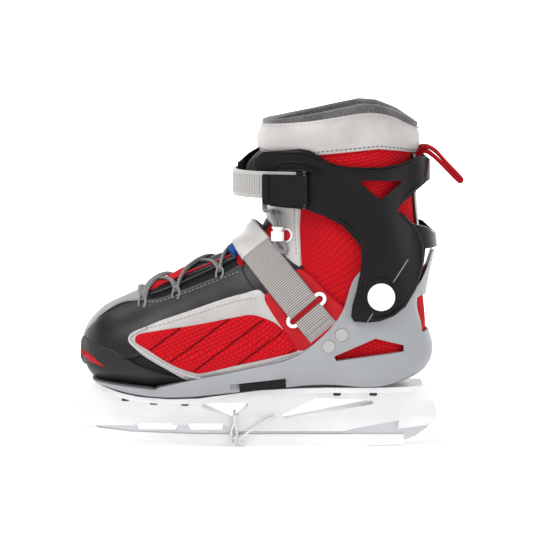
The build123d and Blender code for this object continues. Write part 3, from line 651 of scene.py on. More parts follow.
# dark red for the quilting seams: the sewn thread, darkened as painted shade of the seam grooves
QUILT_SEAM_SHADE = shader("quilt_seam_shade", (0.10, 0.003, 0.005), 0.7, specular=0.05)[0]
PIPING_WHITE = webbing("white_piping", (0.66, 0.66, 0.67), period=0.0012)
STEEL = metal("runner_steel", (0.58, 0.59, 0.61), 0.36)
RIVET_METAL = metal("rivet_metal", (0.60, 0.60, 0.60), 0.4, stretch=(1, 1, 1))
BOLT_METAL = metal("bolt_metal", (0.05, 0.05, 0.055), 0.4, stretch=(1, 1, 1))
BLUE = webbing("blue_tag", (0.02, 0.10, 0.42), period=0.0008)
STRING = braid("white_string", (0.86, 0.86, 0.85), period=0.0018, shade=0.85)


# ------------------------------------------------------------ more shapes
SIDES = ((False, ""), (True, "_inner"))  # far or not, and the end of the name


def ribbon(name, path, width, thick, material, rounding):
    """A flat band along a path in side view, width across the foot; path is (x, z), centred on y = 0."""
    path = along(path, 1.2, smooth=True)
    ahead = unit(np.gradient(path, axis=0))
    up = np.stack([-ahead[:, 1], ahead[:, 0]], 1)
    end, shoulder, flat = width / 2, width / 2 - rounding * 0.3, width / 2 - rounding
    section = [(-end, 0), (-shoulder, 0.8), (-flat, 1), (0, 1), (flat, 1), (shoulder, 0.8)]
    section += [(-y, -h) for y, h in section]
    verts, uvs = [], []
    for spot, rise, run in zip(path, up, run_of(path)):
        for y, h in section:
            x, z = spot + rise * h * thick / 2
            verts.append((x, y, z))
            uvs.append((run, y))
    return build_mesh(name, verts, grid_faces(len(path), len(section), ends=True, turned=True), material, uvs)


def stud(name, centres, normals, profile, material, sides=32):
    """Turned shapes, profile (radius, height) from the rim to the middle, one at each centre."""
    verts, faces = [], []
    for centre, n in zip(np.atleast_2d(centres), unit(np.atleast_2d(normals))):
        e = unit(np.cross(n, (0, 0, 1.0)))
        f = np.cross(n, e)
        faces += grid_faces(len(profile), sides, first=len(verts))
        for r, h in profile:
            for t in np.linspace(0, 2 * np.pi, sides, endpoint=False):
                verts.append(centre + n * h + r * (np.cos(t) * e + np.sin(t) * f))
        faces.append(tuple(range(len(verts) - sides, len(verts))))
    return build_mesh(name, verts, faces, material)


def surf(points, out, far=False):
    """Points over the last from points in side view."""
    return last.place(points, out, far)[0]


def set_down(obj, body=None, blend=None, stands_for=()):
    """Hides the CAD nodes a piece stands for, then hangs the piece on its body, or fixes it in place where it
    spans two.
    """
    if stands_for:
        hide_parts(*stands_for)
    if blend:
        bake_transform(obj)
    else:
        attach(obj, body)
    return obj


# pieces that span two bodies: the two bodies, and where the bend starts and ends; set_down only fixes such
# pieces in place
SHAFT_WAY = np.array([0.48, 0, 0.877])
TOE = ("chassis", "toe_box", (-0.040, 0, 0), (-0.070, 0, 0))
SHAFT = ("chassis", "cuff", tuple(0.152 * SHAFT_WAY), tuple(0.172 * SHAFT_WAY))


def side_panel(name, outline, material, low, high, slot, body=None, blend=None, stands_for=(), smooth=True,
               **how):
    """A panel on both sides of the foot from its outline in side view."""
    loop = last.chart(along(outline, 1.5, closed=True, smooth=smooth))
    obj = panel(name, last, loop, material, low, high, mirrored=True, **how)
    return set_down(obj, body, blend, stands_for)


def wrap_panel(name, outline, material, low, high, slot, body, **how):
    """A panel that crosses the top of the foot; outline is its outer side in side view, between two points on
    the ridge, and the inner side is its mirror image."""
    near = last.chart(along(outline, 1.5, smooth=True))
    near[0, 1] = near[-1, 1] = 0
    loop = np.vstack([near, (near * [1, -1])[-2:0:-1]])
    obj = panel(name, last, loop, material, low, high, folded=True, **how)
    return set_down(obj, body)


def rope(name, way, radius, material, slot, body=None, blend=None, stands_for=(), closed=False, **shape):
    """A cord along a smooth curve through the points of way."""
    path = along(way, 0.7, closed=closed, smooth=True)
    return set_down(tube(name, path, radius, material, closed=closed, **shape), body, blend, stands_for)


def side_tube(name, points, out, radius, material, slot, blend, **how):
    """Piping, or a quilting seam darkened as painted shade, along a line in side view, on both sides of the
    foot.
    """
    line = along(points, 0.8, smooth=True)
    return set_down(tube(name, surf(line, out), radius, material, mirrored=True, **how), blend=blend)


def side_stitches(name, points, out, material, slot, blend, **sizes):
    """A row of stitches on both sides of the foot along a line in side view."""
    spots, normals = last.place(along(points, 0.8, smooth=True), float(out))
    return set_down(stitches(name, spots, normals, material, mirrored=True, **sizes), blend=blend)


# ------------------------------------------------------------ the boot's body
TURNS = 96  # points round the boot on each row of its closed pieces
AROUND = np.linspace(-np.pi, np.pi, TURNS + 1)[:-1]
SHAFT_RADIUS = 38.0  # about, for the flat pattern of the collar and the rim
NOSE_STEPS, NOSE_DOME = 5, 2.6  # rows that close the toe, and how far they bulge


def nose_rows(out):
    """Rows that close the toe, from its middle to the first section."""
    ring = last.point(np.zeros(TURNS), AROUND, out)
    middle = ring.mean(0)
    rows = []
    for share in np.linspace(0.04, 0.94, NOSE_STEPS):
        row = middle + (ring - middle) * share
        row[:, 0] -= (NOSE_DOME + out) * np.sqrt(1 - share**2)
        rows.append(row)
    return rows


def closed_body(name, u_rows, out, material, nose=False, inward=False):
    """A tube round the last along rows of u, each a number or a value for each turn. nose closes it at the
    toe and inward makes it face the foot."""
    u_rows = [np.broadcast_to(u, TURNS).astype(float) for u in u_rows]
    front = nose_rows(out) if nose else []
    rows = front + [last.lifted(u, AROUND, np.full(TURNS, float(out))) for u in u_rows]
    faces = grid_faces(len(rows), TURNS)
    if nose:
        faces.append(tuple(range(TURNS))[::-1])
    if inward:
        faces = [f[::-1] for f in faces]
    uvs = []
    for level in range(-len(front), len(u_rows)):
        u = u_rows[max(level, 0)]
        run = last.run_at(u) - max(-level, 0) * 2.0
        uvs.append(np.stack([run, -np.abs(AROUND) * last.half_girth(u) / np.pi], 1))
    return build_mesh(name, np.vstack(rows), faces, material, np.vstack(uvs))


def edge_of_turns(points):
    """u at each of the turns for a line round the shaft given in side view."""
    u, a = last.locate(along(points, 1.0)).T
    order = np.argsort(np.abs(a))
    return np.interp(np.abs(AROUND), np.abs(a)[order], u[order])


COLLAR_LOW = [(-6.5, 233), (8, 231), (31, 231), (62, 234), (82, 236), (98, 234), (112, 231)]
COLLAR_TOP = [(-4, 254), (0, 255), (29, 258), (50, 261.3), (66, 264), (77, 264.7), (86, 263.6), (94, 261),
              (103, 256), (112, 251)]
RIM = [(-3.5, 257), (8, 258.5), (36, 263.5), (55, 267.5), (70, 270.5), (84, 269.5), (99, 264), (112.3, 255.5)]
collar_low, collar_top, rim = (edge_of_turns(line) for line in (COLLAR_LOW, COLLAR_TOP, RIM))

ANKLE = 8.0  # the section where the shaft starts
TOE_ROWS = np.linspace(0, ANKLE + 0.05, 66)
LINING = -5.0  # where the linings lie, from the outside
BLACK_TEXTILE = rib_mesh("black_textile", (0.02, 0.02, 0.022), 0.0022, 0.0013, angle=40, depth=0.0002)


def shaft_rows(top):
    """Rows of u from the ankle to the top."""
    return [ANKLE + (top - ANKLE) * t for t in np.linspace(0, 1, 60)]


upper = closed_body("upper_textile", TOE_ROWS, 0.0, BLACK_TEXTILE, nose=True)
set_down(upper, blend=TOE, stands_for=("toe_upper", "toe_mesh"))
shaft = closed_body("shaft_mesh", shaft_rows(collar_low + 0.3), 0.0, RED_MESH)
set_down(shaft, blend=SHAFT, stands_for=("boot_upper", "side_mesh"))
toe_lining = closed_body("toe_lining", np.linspace(1.0, ANKLE + 0.05, 40), LINING, PLUSH, inward=True)
set_down(toe_lining, blend=TOE)
lining = closed_body("shaft_lining", shaft_rows(collar_low), LINING, PLUSH, inward=True)
set_down(lining, blend=SHAFT, stands_for=("liner_shaft",))


def ring_piece(name, us, outs, material):
    """A ring round the shaft; us has a row for each level, a value for each turn, and outs one distance."""
    rows = [last.lifted(u, AROUND, np.full(TURNS, float(o))) for u, o in zip(us, outs)]
    steps = [np.linalg.norm(here - below, axis=1).mean() for below, here in zip(rows, rows[1:])]
    across = -np.abs(AROUND) * SHAFT_RADIUS
    uvs = [np.stack([np.full(TURNS, run), across], 1) for run in np.cumsum([0.0] + steps)]
    return build_mesh(name, np.vstack(rows), grid_faces(len(rows), TURNS), material, np.vstack(uvs))


collar_height, rim_height = collar_top - collar_low, rim - collar_top
share = np.linspace(0, 1, 15)
collar = ring_piece(
    "silver_collar",
    [collar_low + collar_height * k for k in share],
    0.2 + 4.6 * np.clip(np.sin(np.pi * (0.06 + 0.90 * share)), 0, 1) ** 0.55 - 0.6 * share,
    SILVER,
)
set_down(collar, body="cuff", stands_for=("collar_pad",))
bend = np.linspace(0, np.pi, 14)[1:]
roll = ring_piece(
    "plush_rim",
    [collar_top - 0.25 + (rim_height + 0.25) * h for h in (0, 0.5)]
    + [collar_top + rim_height * (0.5 + 0.5 * np.sin(k)) for k in bend]
    + [collar_low + collar_height * h for h in (0.7, 0.3, -0.05)],
    [0.6, 1.6, *(-2.0 + 4.2 * np.cos(bend)), -6.2, -5.6, -5.0],
    PLUSH,
)
set_down(roll, body="cuff")

stitch_turns = np.linspace(-np.pi, np.pi, 900)
for name, share, out, material in (("collar_stitches", 0.09, 3.1, THREAD_DARK),
                                   ("collar_stitches_upper", 0.93, 3.3, THREAD_LIGHT)):
    level = collar_low + collar_height * share
    level = np.interp(stitch_turns, np.append(AROUND, np.pi), np.append(level, level[0]))
    row = stitches(name, last.lifted(level, stitch_turns, np.full(len(level), out)),
                   last.normal(level, stitch_turns), material, length=1.9, gap=1.6, thick=0.42)
    set_down(row, body="cuff")

back = Form(LAST, seam_at_front=True)
stay_low, stay_high = back.run_at([13.7, 16.3])
stay_middle = (stay_low + stay_high) / 2
stay_line = along([(stay_low, -11), (stay_low, 11), (stay_middle, 13), (stay_high, 16), (stay_high, -16),
                   (stay_middle, -13)], 1.5, closed=True)
set_down(panel("back_stay", back, stay_line, SILVER, 0.2, 2.2, edge=1.3), body="cuff")
for name, side in (("back_stay_edge", -1), ("back_stay_edge_inner", 1)):
    edge = along([(stay_low, 11.5 * side), (stay_middle, 13.4 * side), (stay_high, 16.5 * side)], 0.8)
    set_down(tube(name, back.flat_point(edge, 0.8), 1.1, BLACK_LEATHER, sides=10),
             body="cuff")

# ------------------------------------------------------------ leather, mesh and piping on the foot
CAP_EDGE = [(-146, 93), (-142, 89), (-133, 85), (-121, 82), (-113, 78), (-101, 71), (-90, 67), (-74, 62),
            (-57, 58.5), (-50, 55)]


def toe_cap_piece():
    """The toe cap: it closes the toe below its edge and goes under it, round to the other side."""
    u, a = last.locate(along(CAP_EDGE[1:], 0.8, smooth=True)).T
    order = np.argsort(u)
    u_rows = np.linspace(u[order][0], u[order][-1], 90)
    edge = -np.interp(u_rows, u[order], a[order])
    rounded = np.array([0, 0.002, 0.006, 0.012, 0.02])
    share = np.concatenate([rounded, [0.03], np.linspace(0.05, 0.95, 60), [0.97], 1 - rounded[::-1]])
    rows, uvs = [], []
    for uu, e in zip(u_rows, edge):
        turns = e + (2 * np.pi - 2 * e) * share
        girth = last.half_girth(uu) / np.pi
        reach = np.minimum(turns - e, 2 * np.pi - e - turns) * girth
        underside = np.clip((1.25 - np.abs(turns - np.pi)) / 0.5, 0, 1)
        height = 0.3 + (2.5 - 1.9 * underside) * np.sqrt(1 - (1 - np.clip(reach / 1.6, 0, 1)) ** 2)
        rows.append(last.lifted(np.full(len(turns), uu), turns, height))
        uvs.append(np.stack([np.full(len(turns), last.run_at(uu)), turns * girth], 1))
    ring = rows[0]
    half = len(ring) // 2
    middle = ring[half - 12:half + 12].mean(0) + (0, 0, 5)
    front = [middle + (ring - middle) * s - (4.2 * np.sqrt(1 - s**2), 0, 0)
             for s in np.linspace(0.05, 0.95, 8)]
    uvs = [uvs[0] - [(9 - k) * 1.5, 0] for k in range(8)] + uvs
    rows = front + rows
    faces = grid_faces(len(rows), len(share), wrap=False) + [tuple(range(len(share)))[::-1]]
    obj = build_mesh("toe_cap_leather", np.vstack(rows), faces, CAP_LEATHER, np.vstack(uvs))
    return set_down(obj, body="toe_box", stands_for=("toe_cap",))


toe_cap_piece()
wrap_panel("toe_strip", [(-144.6, 84.5), (-143.2, 87), (-137.8, 96), (-129.8, 105.4), (-115, 114),
                         (-98, 117.6), (-95.5, 120), (-96.5, 124)], GREY_RAND, 0.6, 1.9, "silver_leather",
           body="toe_box", edge=1.2)
side_panel("vamp_leather", [(-142, 86), (-141, 92), (-134, 100), (-123, 107.5), (-112, 113), (-98, 117),
                            (-86, 119), (-74, 123), (-55, 130), (-35, 138), (-23, 144), (-15, 139),
                            (-8, 126), (-35, 117), (-62, 108), (-86, 100), (-100, 92), (-103, 87),
                            (-95, 80), (-112, 74), (-128, 78), (-139, 82)], BLACK_LEATHER, 0.0, 2.2,
           "black_leather", blend=TOE, stands_for=("vamp",))
side_panel("toe_flash", [(-143, 79), (-135, 76), (-129, 71), (-124, 68), (-136, 71), (-142, 75)],
           RED_LEATHER, 2.6, 3.7, "red_mesh", body="toe_box", smooth=False, step=1.0, edge=0.7)
side_panel("silver_quarter", [(-9, 127), (-20, 124), (-35, 120), (-62, 111), (-86, 103), (-100, 96.3),
                              (-106, 91.8), (-106.5, 86), (-97, 77.5), (-80, 67.5), (-66, 60), (-50, 55),
                              (-25, 58), (0, 66), (24, 77), (33, 84), (26, 90), (14, 98), (6, 108),
                              (0, 119), (-4, 124)], SILVER, 0.2, 3.0, "silver_leather", blend=TOE,
           stands_for=("quarters",))


QUILT_TURN = np.radians(35)
QUILT_FIRST, QUILT_PITCH = 72.5, 15.7


def quilting(flat):
    """Soft swellings between slanting sewn lines, set out in side view."""
    spot = last.flat_point(flat)
    across = spot[:, 2] * np.cos(QUILT_TURN) - spot[:, 0] * np.sin(QUILT_TURN)
    return 1.7 * np.abs(np.sin(np.pi * (across - QUILT_FIRST) / QUILT_PITCH)) ** 0.7


INSERT = [(-103, 88), (-101, 92.8), (-90, 95.5), (-75, 98), (-55, 101), (-23, 107), (-14, 108), (-5, 106),
          (4, 102), (12, 95), (20, 84), (20, 80), (0, 75), (-23, 70.5), (-50, 65), (-60, 65.2), (-76, 71.2),
          (-93, 81.5), (-101, 86)]
insert = side_panel("quilted_insert", INSERT, RED_QUILT, 2.4, 4.0, "red_mesh", blend=TOE, relief=quilting,
                    edge=2.2, step=1.3)
insert_line = np.array(INSERT, float)
# dark tubes along the quilting seams: sewn lines, their darkness painted shade in the grooves between the
# swellings
for k in range(-1, 4):
    middle = (QUILT_FIRST + k * QUILT_PITCH) * np.array([-np.sin(QUILT_TURN), np.cos(QUILT_TURN)])
    line = middle + np.outer(np.arange(-160, 160, 0.7), [np.cos(QUILT_TURN), np.sin(QUILT_TURN)])
    line = line[inside(line, insert_line)][2:-2]
    if len(line) > 6:
        side_tube(f"quilt_seam_shade_line_{k + 1}", line, 4.45, 0.5, QUILT_SEAM_SHADE, "red_mesh", blend=TOE, sides=8)
side_tube("insert_piping", [(-94, 97.5), (-102, 94.3), (-106, 91.5), (-106.6, 88.5), (-103.5, 85),
                            (-95, 79.5), (-76, 68.8), (-60, 62.8), (-50, 61)], 3.3, 1.2, PIPING_WHITE,
          "silver_leather", blend=TOE, sides=10)
side_stitches("stripe_stitches", [(-98, 96.6), (-86, 99.5), (-62, 106.5), (-35, 115), (-16, 119.5),
                                  (-7, 119)], 3.05, GREY_THREAD_AND_HIGHLIGHT, "silver_leather", blend=TOE)
side_stitches("stripe_edge_stitches", [(-12, 124.5), (-35, 118), (-62, 109.3), (-86, 101.3), (-97, 97)],
              3.05, THREAD_LIGHT, "silver_leather", blend=TOE, thick=0.3)
side_stitches("lacing_stitches", [(-94, 115.5), (-84, 116.5), (-73, 120.3), (-54, 127), (-35, 134.5),
                                  (-22, 139.5)], 2.25, GREY_THREAD_AND_HIGHLIGHT, "black_leather", blend=TOE, thick=0.32)
side_panel("lower_strip", [(-66, 60.5), (-66, 63.5), (-55, 62.5), (-23, 68.5), (0, 73.5), (22, 80),
                           (23, 76), (0, 69), (-23, 64), (-55, 58.5)], GREY_RAND, 2.6, 3.5,
           "silver_leather", blend=TOE, smooth=False, step=1.2, edge=0.8)
side_stitches("lower_stitches", [(-64, 61.8), (-55, 60.6), (-23, 66.4), (0, 71.4), (22, 78)], 3.5,
              THREAD_LIGHT, "silver_leather", blend=TOE, length=1.5, gap=1.4)
side_panel("strap_binding", [(18, 141), (24, 143), (33, 137), (47, 123), (59, 112), (56, 104), (33, 85),
                             (23, 80), (16, 86), (9, 97), (0, 110), (-5, 121), (2, 128), (10, 135)],
           RED_LEATHER, 1.4, 3.6, "red_mesh", body="chassis", edge=2.0)
side_panel("lower_facing", [(4, 157), (24, 146), (24, 142), (12, 133), (0, 122), (-8, 122), (-16, 130),
                            (-22, 141), (-18, 148), (-8, 158), (-2, 160)], BLACK_LEATHER, 0.2, 2.6,
           "black_leather", body="chassis")
side_panel("silver_facing", [(-1, 193), (10, 193.5), (22, 192), (23.5, 188), (23, 174), (24, 150),
                             (24, 143.5), (18, 146), (9, 153.5), (4, 158), (7.5, 163), (7, 168), (3, 174),
                             (-1, 180)], SILVER, 0.2, 2.7, "silver_leather", blend=SHAFT, smooth=True)
side_stitches("facing_stitches", [(20, 190), (20.5, 174), (21, 151)], 2.7, GREY_THREAD_AND_HIGHLIGHT, "silver_leather",
              blend=SHAFT)
side_stitches("facing_edge_stitches", [(8, 158), (10, 163), (9.8, 169), (6, 175), (2.5, 181), (2, 189)],
              2.7, THREAD_LIGHT, "silver_leather", blend=SHAFT, thick=0.3)

eyelet_at = np.array([(14.0, 168.0)])
for far, tail in SIDES:
    spot, outward = last.place(eyelet_at, 3.0, far)
    set_down(stud("eyelet_ring" + tail, spot, outward,
                  [(5.6, 0), (5.7, 0.7), (5.4, 1.3), (4.9, 1.5), (4.3, 1.2), (4.1, 0.5)], WHITE),
             body="chassis")
    set_down(stud("eyelet_disc" + tail, spot, outward,
                  [(4.2, 0.2), (4.1, 1.0), (3.6, 1.35), (2.0, 1.5), (0.3, 1.5)], RED_LEATHER),
             body="chassis")


# ------------------------------------------------------------ tongue and laces
def tongue_piece():
    """The padded tongue on the ridge, from the toe strip to above the collar."""
    low, high, cols = 4.2, 16.7, 33
    levels = np.linspace(low, high, 120)
    across = np.linspace(-1, 1, cols)
    crown = np.clip(1 - across**2, 0, 1) ** 0.4
    verts, uvs = [], []
    for top in (True, False):
        for u in levels:
            half = np.interp(u, [low, 6, 9, 12, 15, high], [12, 15, 16, 18, 21, 18])
            end = np.interp(u, [low, 4.5, 16.4, high], [0.2, 1, 1, 0.1])
            puff = np.interp(u, [low, 6, 8, 9.2, 10.5, high], [1.6, 2.0, 2.2, 2.0, 1.0, 0.8])
            ripple = 0.5 * np.cos(u * 5.2) * (1 - across**2)
            out = 0.3 + (puff * end * crown + ripple if top else -1.32 * crown)
            verts.append(last.lifted(np.full(cols, u), across * half * np.pi / last.half_girth(u), out))
            uvs.append(np.stack([np.full(cols, last.run_at(u)), across * half], 1))
    rows = len(levels)
    under, end = rows * cols, (rows - 1) * cols
    faces = grid_faces(rows, cols, wrap=False, turned=True) + grid_faces(rows, cols, wrap=False, first=under)
    for c in range(cols - 1):
        faces.append((c, c + 1, under + c + 1, under + c))
        faces.append((end + c + 1, end + c, under + end + c, under + end + c + 1))
    obj = build_mesh("tongue_pad", np.vstack(verts), faces, BLACK_LEATHER, np.vstack(uvs))
    obj.data.materials.append(RED_MESH)
    for polygon in obj.data.polygons:
        polygon.material_index = int(-0.093 < polygon.center.x < -0.066)
    return obj


tongue = tongue_piece()
set_down(tongue, blend=SHAFT, stands_for=("tongue",))

side_tube("tongue_edge", [(-92, 120.5), (-82, 124), (-66, 130.5), (-52, 136.5), (-38, 143), (-25, 149)],
          1.9, 1.1, BLACK_LEATHER, "black_leather", blend=TOE, sides=10)
side_tube("tongue_piping", [(-86, 126.5), (-76, 131), (-62, 137), (-50, 141.5), (-38, 146.2), (-29, 150)],
          2.1, 0.75, RED_LEATHER, "red_mesh", blend=TOE, sides=8)

EYELETS = [(-97, 116.5), (-71.5, 123.5), (-38, 138.5), (-12, 150)]
LACE_SHAPE = {"sides": 24, "strands": 8, "pitch": 26.0, "flat": 0.5}
LACE_RADIUS = 2.6


def crossing(name, start, end, side, lift):
    """A flat lace from the near eyelet start over the tongue to the far one end, or its mirror image."""
    (u0, a0), (u1, a1) = last.locate([start, end])
    f = np.linspace(0, 1, 31)
    turns = (a0 + (-a1 - a0) * f) * side
    u = u0 + (u1 - u0) * (f - 0.10 * np.sin(2 * np.pi * f))
    path = last.lifted(u, turns, 1.3 + lift * np.sin(np.pi * f) ** 0.7)
    return rope(name, path, LACE_RADIUS, LACE, "lace_grey", blend=TOE, **LACE_SHAPE)


for k in range(3):
    near = crossing(f"lace_{k}_a", EYELETS[k], EYELETS[k + 1], 1, 2.9)
    far = crossing(f"lace_{k}_b", EYELETS[k], EYELETS[k + 1], -1, 1.3)
    if k == 0:
        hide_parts("lace_front")
    if k == 2:
        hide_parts("lace_rear")
start_u, start_a = last.locate(EYELETS[:1])[0]
bow = np.cos(np.linspace(-np.pi / 2, np.pi / 2, 25))
bar = last.lifted(start_u - 0.10 * bow, np.linspace(start_a, -start_a, 25), 1.3 + 1.6 * bow ** 0.6)
rope("lace_bar", bar, LACE_RADIUS, LACE, "lace_grey", body="toe_box", **LACE_SHAPE)
LOOP_LINE = [(-3.4, -4.6), (-2.6, -1.0), (-0.8, 1.7), (1.8, 1.2), (2.4, -1.4), (0.8, -4.8)]
for k, eyelet in enumerate(EYELETS[:3]):
    for far, tail in SIDES:
        line = along(np.add(eyelet, LOOP_LINE), 0.6, smooth=True)
        over = 1.6 + 2.6 * np.sin(np.linspace(0.1, np.pi - 0.1, len(line)))
        loop = tube(f"lace_loop_{k}{tail}", surf(line, over, far), 1.35, LOOP_TAPE, sides=14, flat=0.6)
        set_down(loop, blend=TOE)

# ------------------------------------------------------------ the instep strap, its ring and anchor
STRAP_WAY = np.array([-47.5, 57.5]) / np.hypot(47.5, 57.5)
STRAP_SIDE = np.array([-STRAP_WAY[1], STRAP_WAY[0]])
STRAP_START = np.array([30.5, 107.5])


def strap_spot(s, v):
    """Side view of a place s along the strap and v across it, towards the toe."""
    return STRAP_START + STRAP_WAY * s + STRAP_SIDE * v


def ridge_spot(v):
    """Where a line along the strap meets the ridge of the foot."""
    s = np.arange(20, 110, 0.25)
    spots = np.array([strap_spot(k, v) for k in s])
    ridge = np.stack([last.fine[:, 0], last.fine[:, 1]], 1)
    gap = np.array([np.linalg.norm(ridge - p, axis=1).min() for p in spots])
    return spots[int(np.argmin(gap))]


RIDGE_RUN = last.chart(np.array([(-15.0, 163.0)]))[0, 0]


def over_ridge(flat):
    """The strap stands off the foot where it bridges the tongue, a little more towards the ankle."""
    return (0.9 + np.clip((flat[:, 0] - RIDGE_RUN) / 9.0, -0.8, 1.4)) * np.exp(-((flat[:, 1] / 22) ** 2))


STRAP_REACH = np.arange(-30, 100, 0.5)
strap_middle = surf(np.array([strap_spot(s, 0) for s in STRAP_REACH]), 5.0)
STRAP_LENGTH = run_of(strap_middle)
past_ridge = strap_middle[:, 1] > -0.6
TURN_LENGTH = STRAP_LENGTH[np.argmax(past_ridge)] if past_ridge.any() else STRAP_LENGTH[-1]


def lay_weave(obj):
    """Flat coordinates of strap pieces: length along the strap, then distance across it."""
    mesh = obj.data
    spots = np.array([tuple(v.co) for v in mesh.vertices]) / MM
    from_start = spots[:, [0, 2]] - STRAP_START
    s, v = from_start @ STRAP_WAY, from_start @ STRAP_SIDE
    run = np.interp(s, STRAP_REACH, STRAP_LENGTH)
    run = np.where(spots[:, 1] > 0, 2 * TURN_LENGTH - run, run)
    index = np.zeros(len(mesh.loops), int)
    mesh.loops.foreach_get("vertex_index", index)
    mesh.uv_layers[0].data.foreach_set("uv", (np.stack([run, v], 1)[index] * MM).astype(np.float32).ravel())


def strap_line(start, half):
    """A strap piece's outline in the chart, from a distance along it over the ridge to the inner side."""
    line = [ridge_spot(half)] + [strap_spot(s, half) for s in np.arange(66, start, -1.5)]
    line += [strap_spot(start, v) for v in np.linspace(half, -half, 9)]
    line += [strap_spot(s, -half) for s in np.arange(start + 1.5, 66, 1.5)] + [ridge_spot(-half)]
    side = last.chart(np.array(line))
    side[0, 1] = side[-1, 1] = 0
    return np.vstack([side, (side * [1, -1])[-2:0:-1]])


def strap_wrap(name, start, half, material, low, high, slot, stands_for=(), **how):
    """A piece on the strap that crosses the ridge."""
    obj = panel(name, last, strap_line(start, half), material, low, high, lift=over_ridge, backed=True,
                folded=True, **how)
    lay_weave(obj)
    return set_down(obj, body="chassis", stands_for=stands_for)


def strap_panel(name, s0, s1, half, material, low, high, slot, **how):
    """A piece lying on the strap from s0 to s1, on the outer side."""
    outline = [strap_spot(s0, half), strap_spot((s0 + s1) / 2, half), strap_spot(s1, half),
               strap_spot(s1, -half), strap_spot((s0 + s1) / 2, -half), strap_spot(s0, -half)]
    loop = last.chart(along(outline, 1.2, closed=True))
    obj = panel(name, last, loop, material, low, high, lift=over_ridge, backed=True, **how)
    lay_weave(obj)
    return set_down(obj, body="chassis")


def webbing_sweep(name, profile, half, material):
    """Webbing with a closed profile of (distance along the strap, height), the same right across it, on both
    sides of the foot."""
    round_from = 0.94
    across = half * np.array([-1, -0.985, -round_from, *np.linspace(-0.88, 0.88, 19), round_from, 0.985, 1])
    middle = np.mean(profile, 0)[1]
    verts = []
    for v in across:
        shrink = 1 - 0.35 * max(0.0, (abs(v) / half - round_from) / (1 - round_from)) ** 2
        heights = np.array([middle + (h - middle) * shrink for _, h in profile])
        verts.append(surf(np.array([strap_spot(s, v) for s, _ in profile]), heights))
    verts = np.vstack(verts)
    faces = grid_faces(len(across), len(profile), ends=True)
    obj = build_mesh(name, verts, faces, material, np.zeros((len(verts), 2)), mirror=(1, 1))
    lay_weave(obj)
    return obj


def turn_round(bar, reach, low, high, facing):
    """Half a turn of webbing round a bar, from low to high."""
    angle = np.linspace(-np.pi / 2, np.pi / 2, 9)
    return [(bar + facing * reach * np.cos(t), (low + high) / 2 + (high - low) / 2 * np.sin(t))
            for t in angle]


BAR_UP, BAR_DOWN = 9.0, 1.2
strap_wrap("instep_webbing", 10.6, 13.5, WEBBING, 4.0, 5.2, "webbing_grey", edge=0.8, step=1.5,
           stands_for=("instep_strap",))
strap_panel("strap_fold", 10.6, 62, 13.3, WEBBING, 5.5, 7.0, "webbing_grey", edge=0.9, step=1.5)
strap_turn = turn_round(BAR_UP, 2.0, 3.4, 7.2, -1)
set_down(webbing_sweep("strap_turn", strap_turn + [(12.1, 7.0), (12.1, 3.6)], 13.3, WEBBING),
         body="chassis")
strap_wrap("strap_patch", 61, 14.2, SILVER, 5.6, 8.0, "silver_leather", edge=1.2, step=1.2,
           stands_for=("strap_end_patch",))
ANCHOR_TOP = [(BAR_DOWN - 2, 7.0), (-9.2, 6.7), (-9.9, 6.2), (-10.2, 5.4), (-14, 4.7), (-17, 3.2),
              (-19.5, 1.8), (-21, 1.5)]
ANCHOR_UNDER = [(-21, 0.5), (-17, 0.9), (-12, 2.2), (-6, 3.2)]
anchor = webbing_sweep("strap_anchor_webbing", turn_round(BAR_DOWN, 2.0, 3.3, 7.1, 1)
                       + ANCHOR_TOP + ANCHOR_UNDER, 12.6, WEBBING)
set_down(anchor, body="chassis", stands_for=("strap_anchor",))


def oblong_ring(name, material):
    """The strap's ring: a rounded oblong of round bar across the strap, its long bars inside the webbing."""
    middle, reach = (BAR_UP + BAR_DOWN) / 2, (BAR_UP - BAR_DOWN) / 2
    turns = np.linspace(0, np.pi, 9)
    corners = [(middle + reach * np.cos(t), 12.2 + 4.4 * np.sin(t)) for t in turns]
    corners += [(middle - reach * np.cos(t), -13.8 - 4.4 * np.sin(t)) for t in turns]
    line = along([strap_spot(s, v) for s, v in corners], 0.8, closed=True)
    return tube(name, surf(line, 5.4), 1.45, material, sides=16, closed=True, mirrored=True)


set_down(oblong_ring("strap_ring", WHITE), body="chassis", stands_for=("instep_ring",))
for k, (s, height) in enumerate(((-8.2, 6.9), (-12.0, 5.3))):
    spots, normals = last.place(along([strap_spot(s, v) for v in (-11, 11)], 0.8), height)
    row = stitches(f"anchor_stitches_{k}", spots, normals, THREAD_LIGHT, length=1.6, gap=0.9, thick=0.28,
                   mirrored=True)
    set_down(row, body="chassis")
tag_loop = last.chart(along([(-31, 151), (-29, 158), (-25, 160), (-22, 156), (-26, 149)], 1.0, closed=True))
tag = panel("size_tag", last, tag_loop, BLUE, 1.0, 5.2, edge=1.0, step=1.0)
set_down(tag, body="chassis")

# ------------------------------------------------------------ ladder strap, buckle and cuff trim
BUCKLE_TURN = np.radians(14.5)
TURN_C, TURN_S = np.cos(BUCKLE_TURN), np.sin(BUCKLE_TURN)


def buckle_spot(across, up, out):
    """A place on the buckle: along its face, up it and out from it."""
    return np.array([13 + across * TURN_C - out * TURN_S, -44.4 - across * TURN_S - out * TURN_C, 205.5 + up])


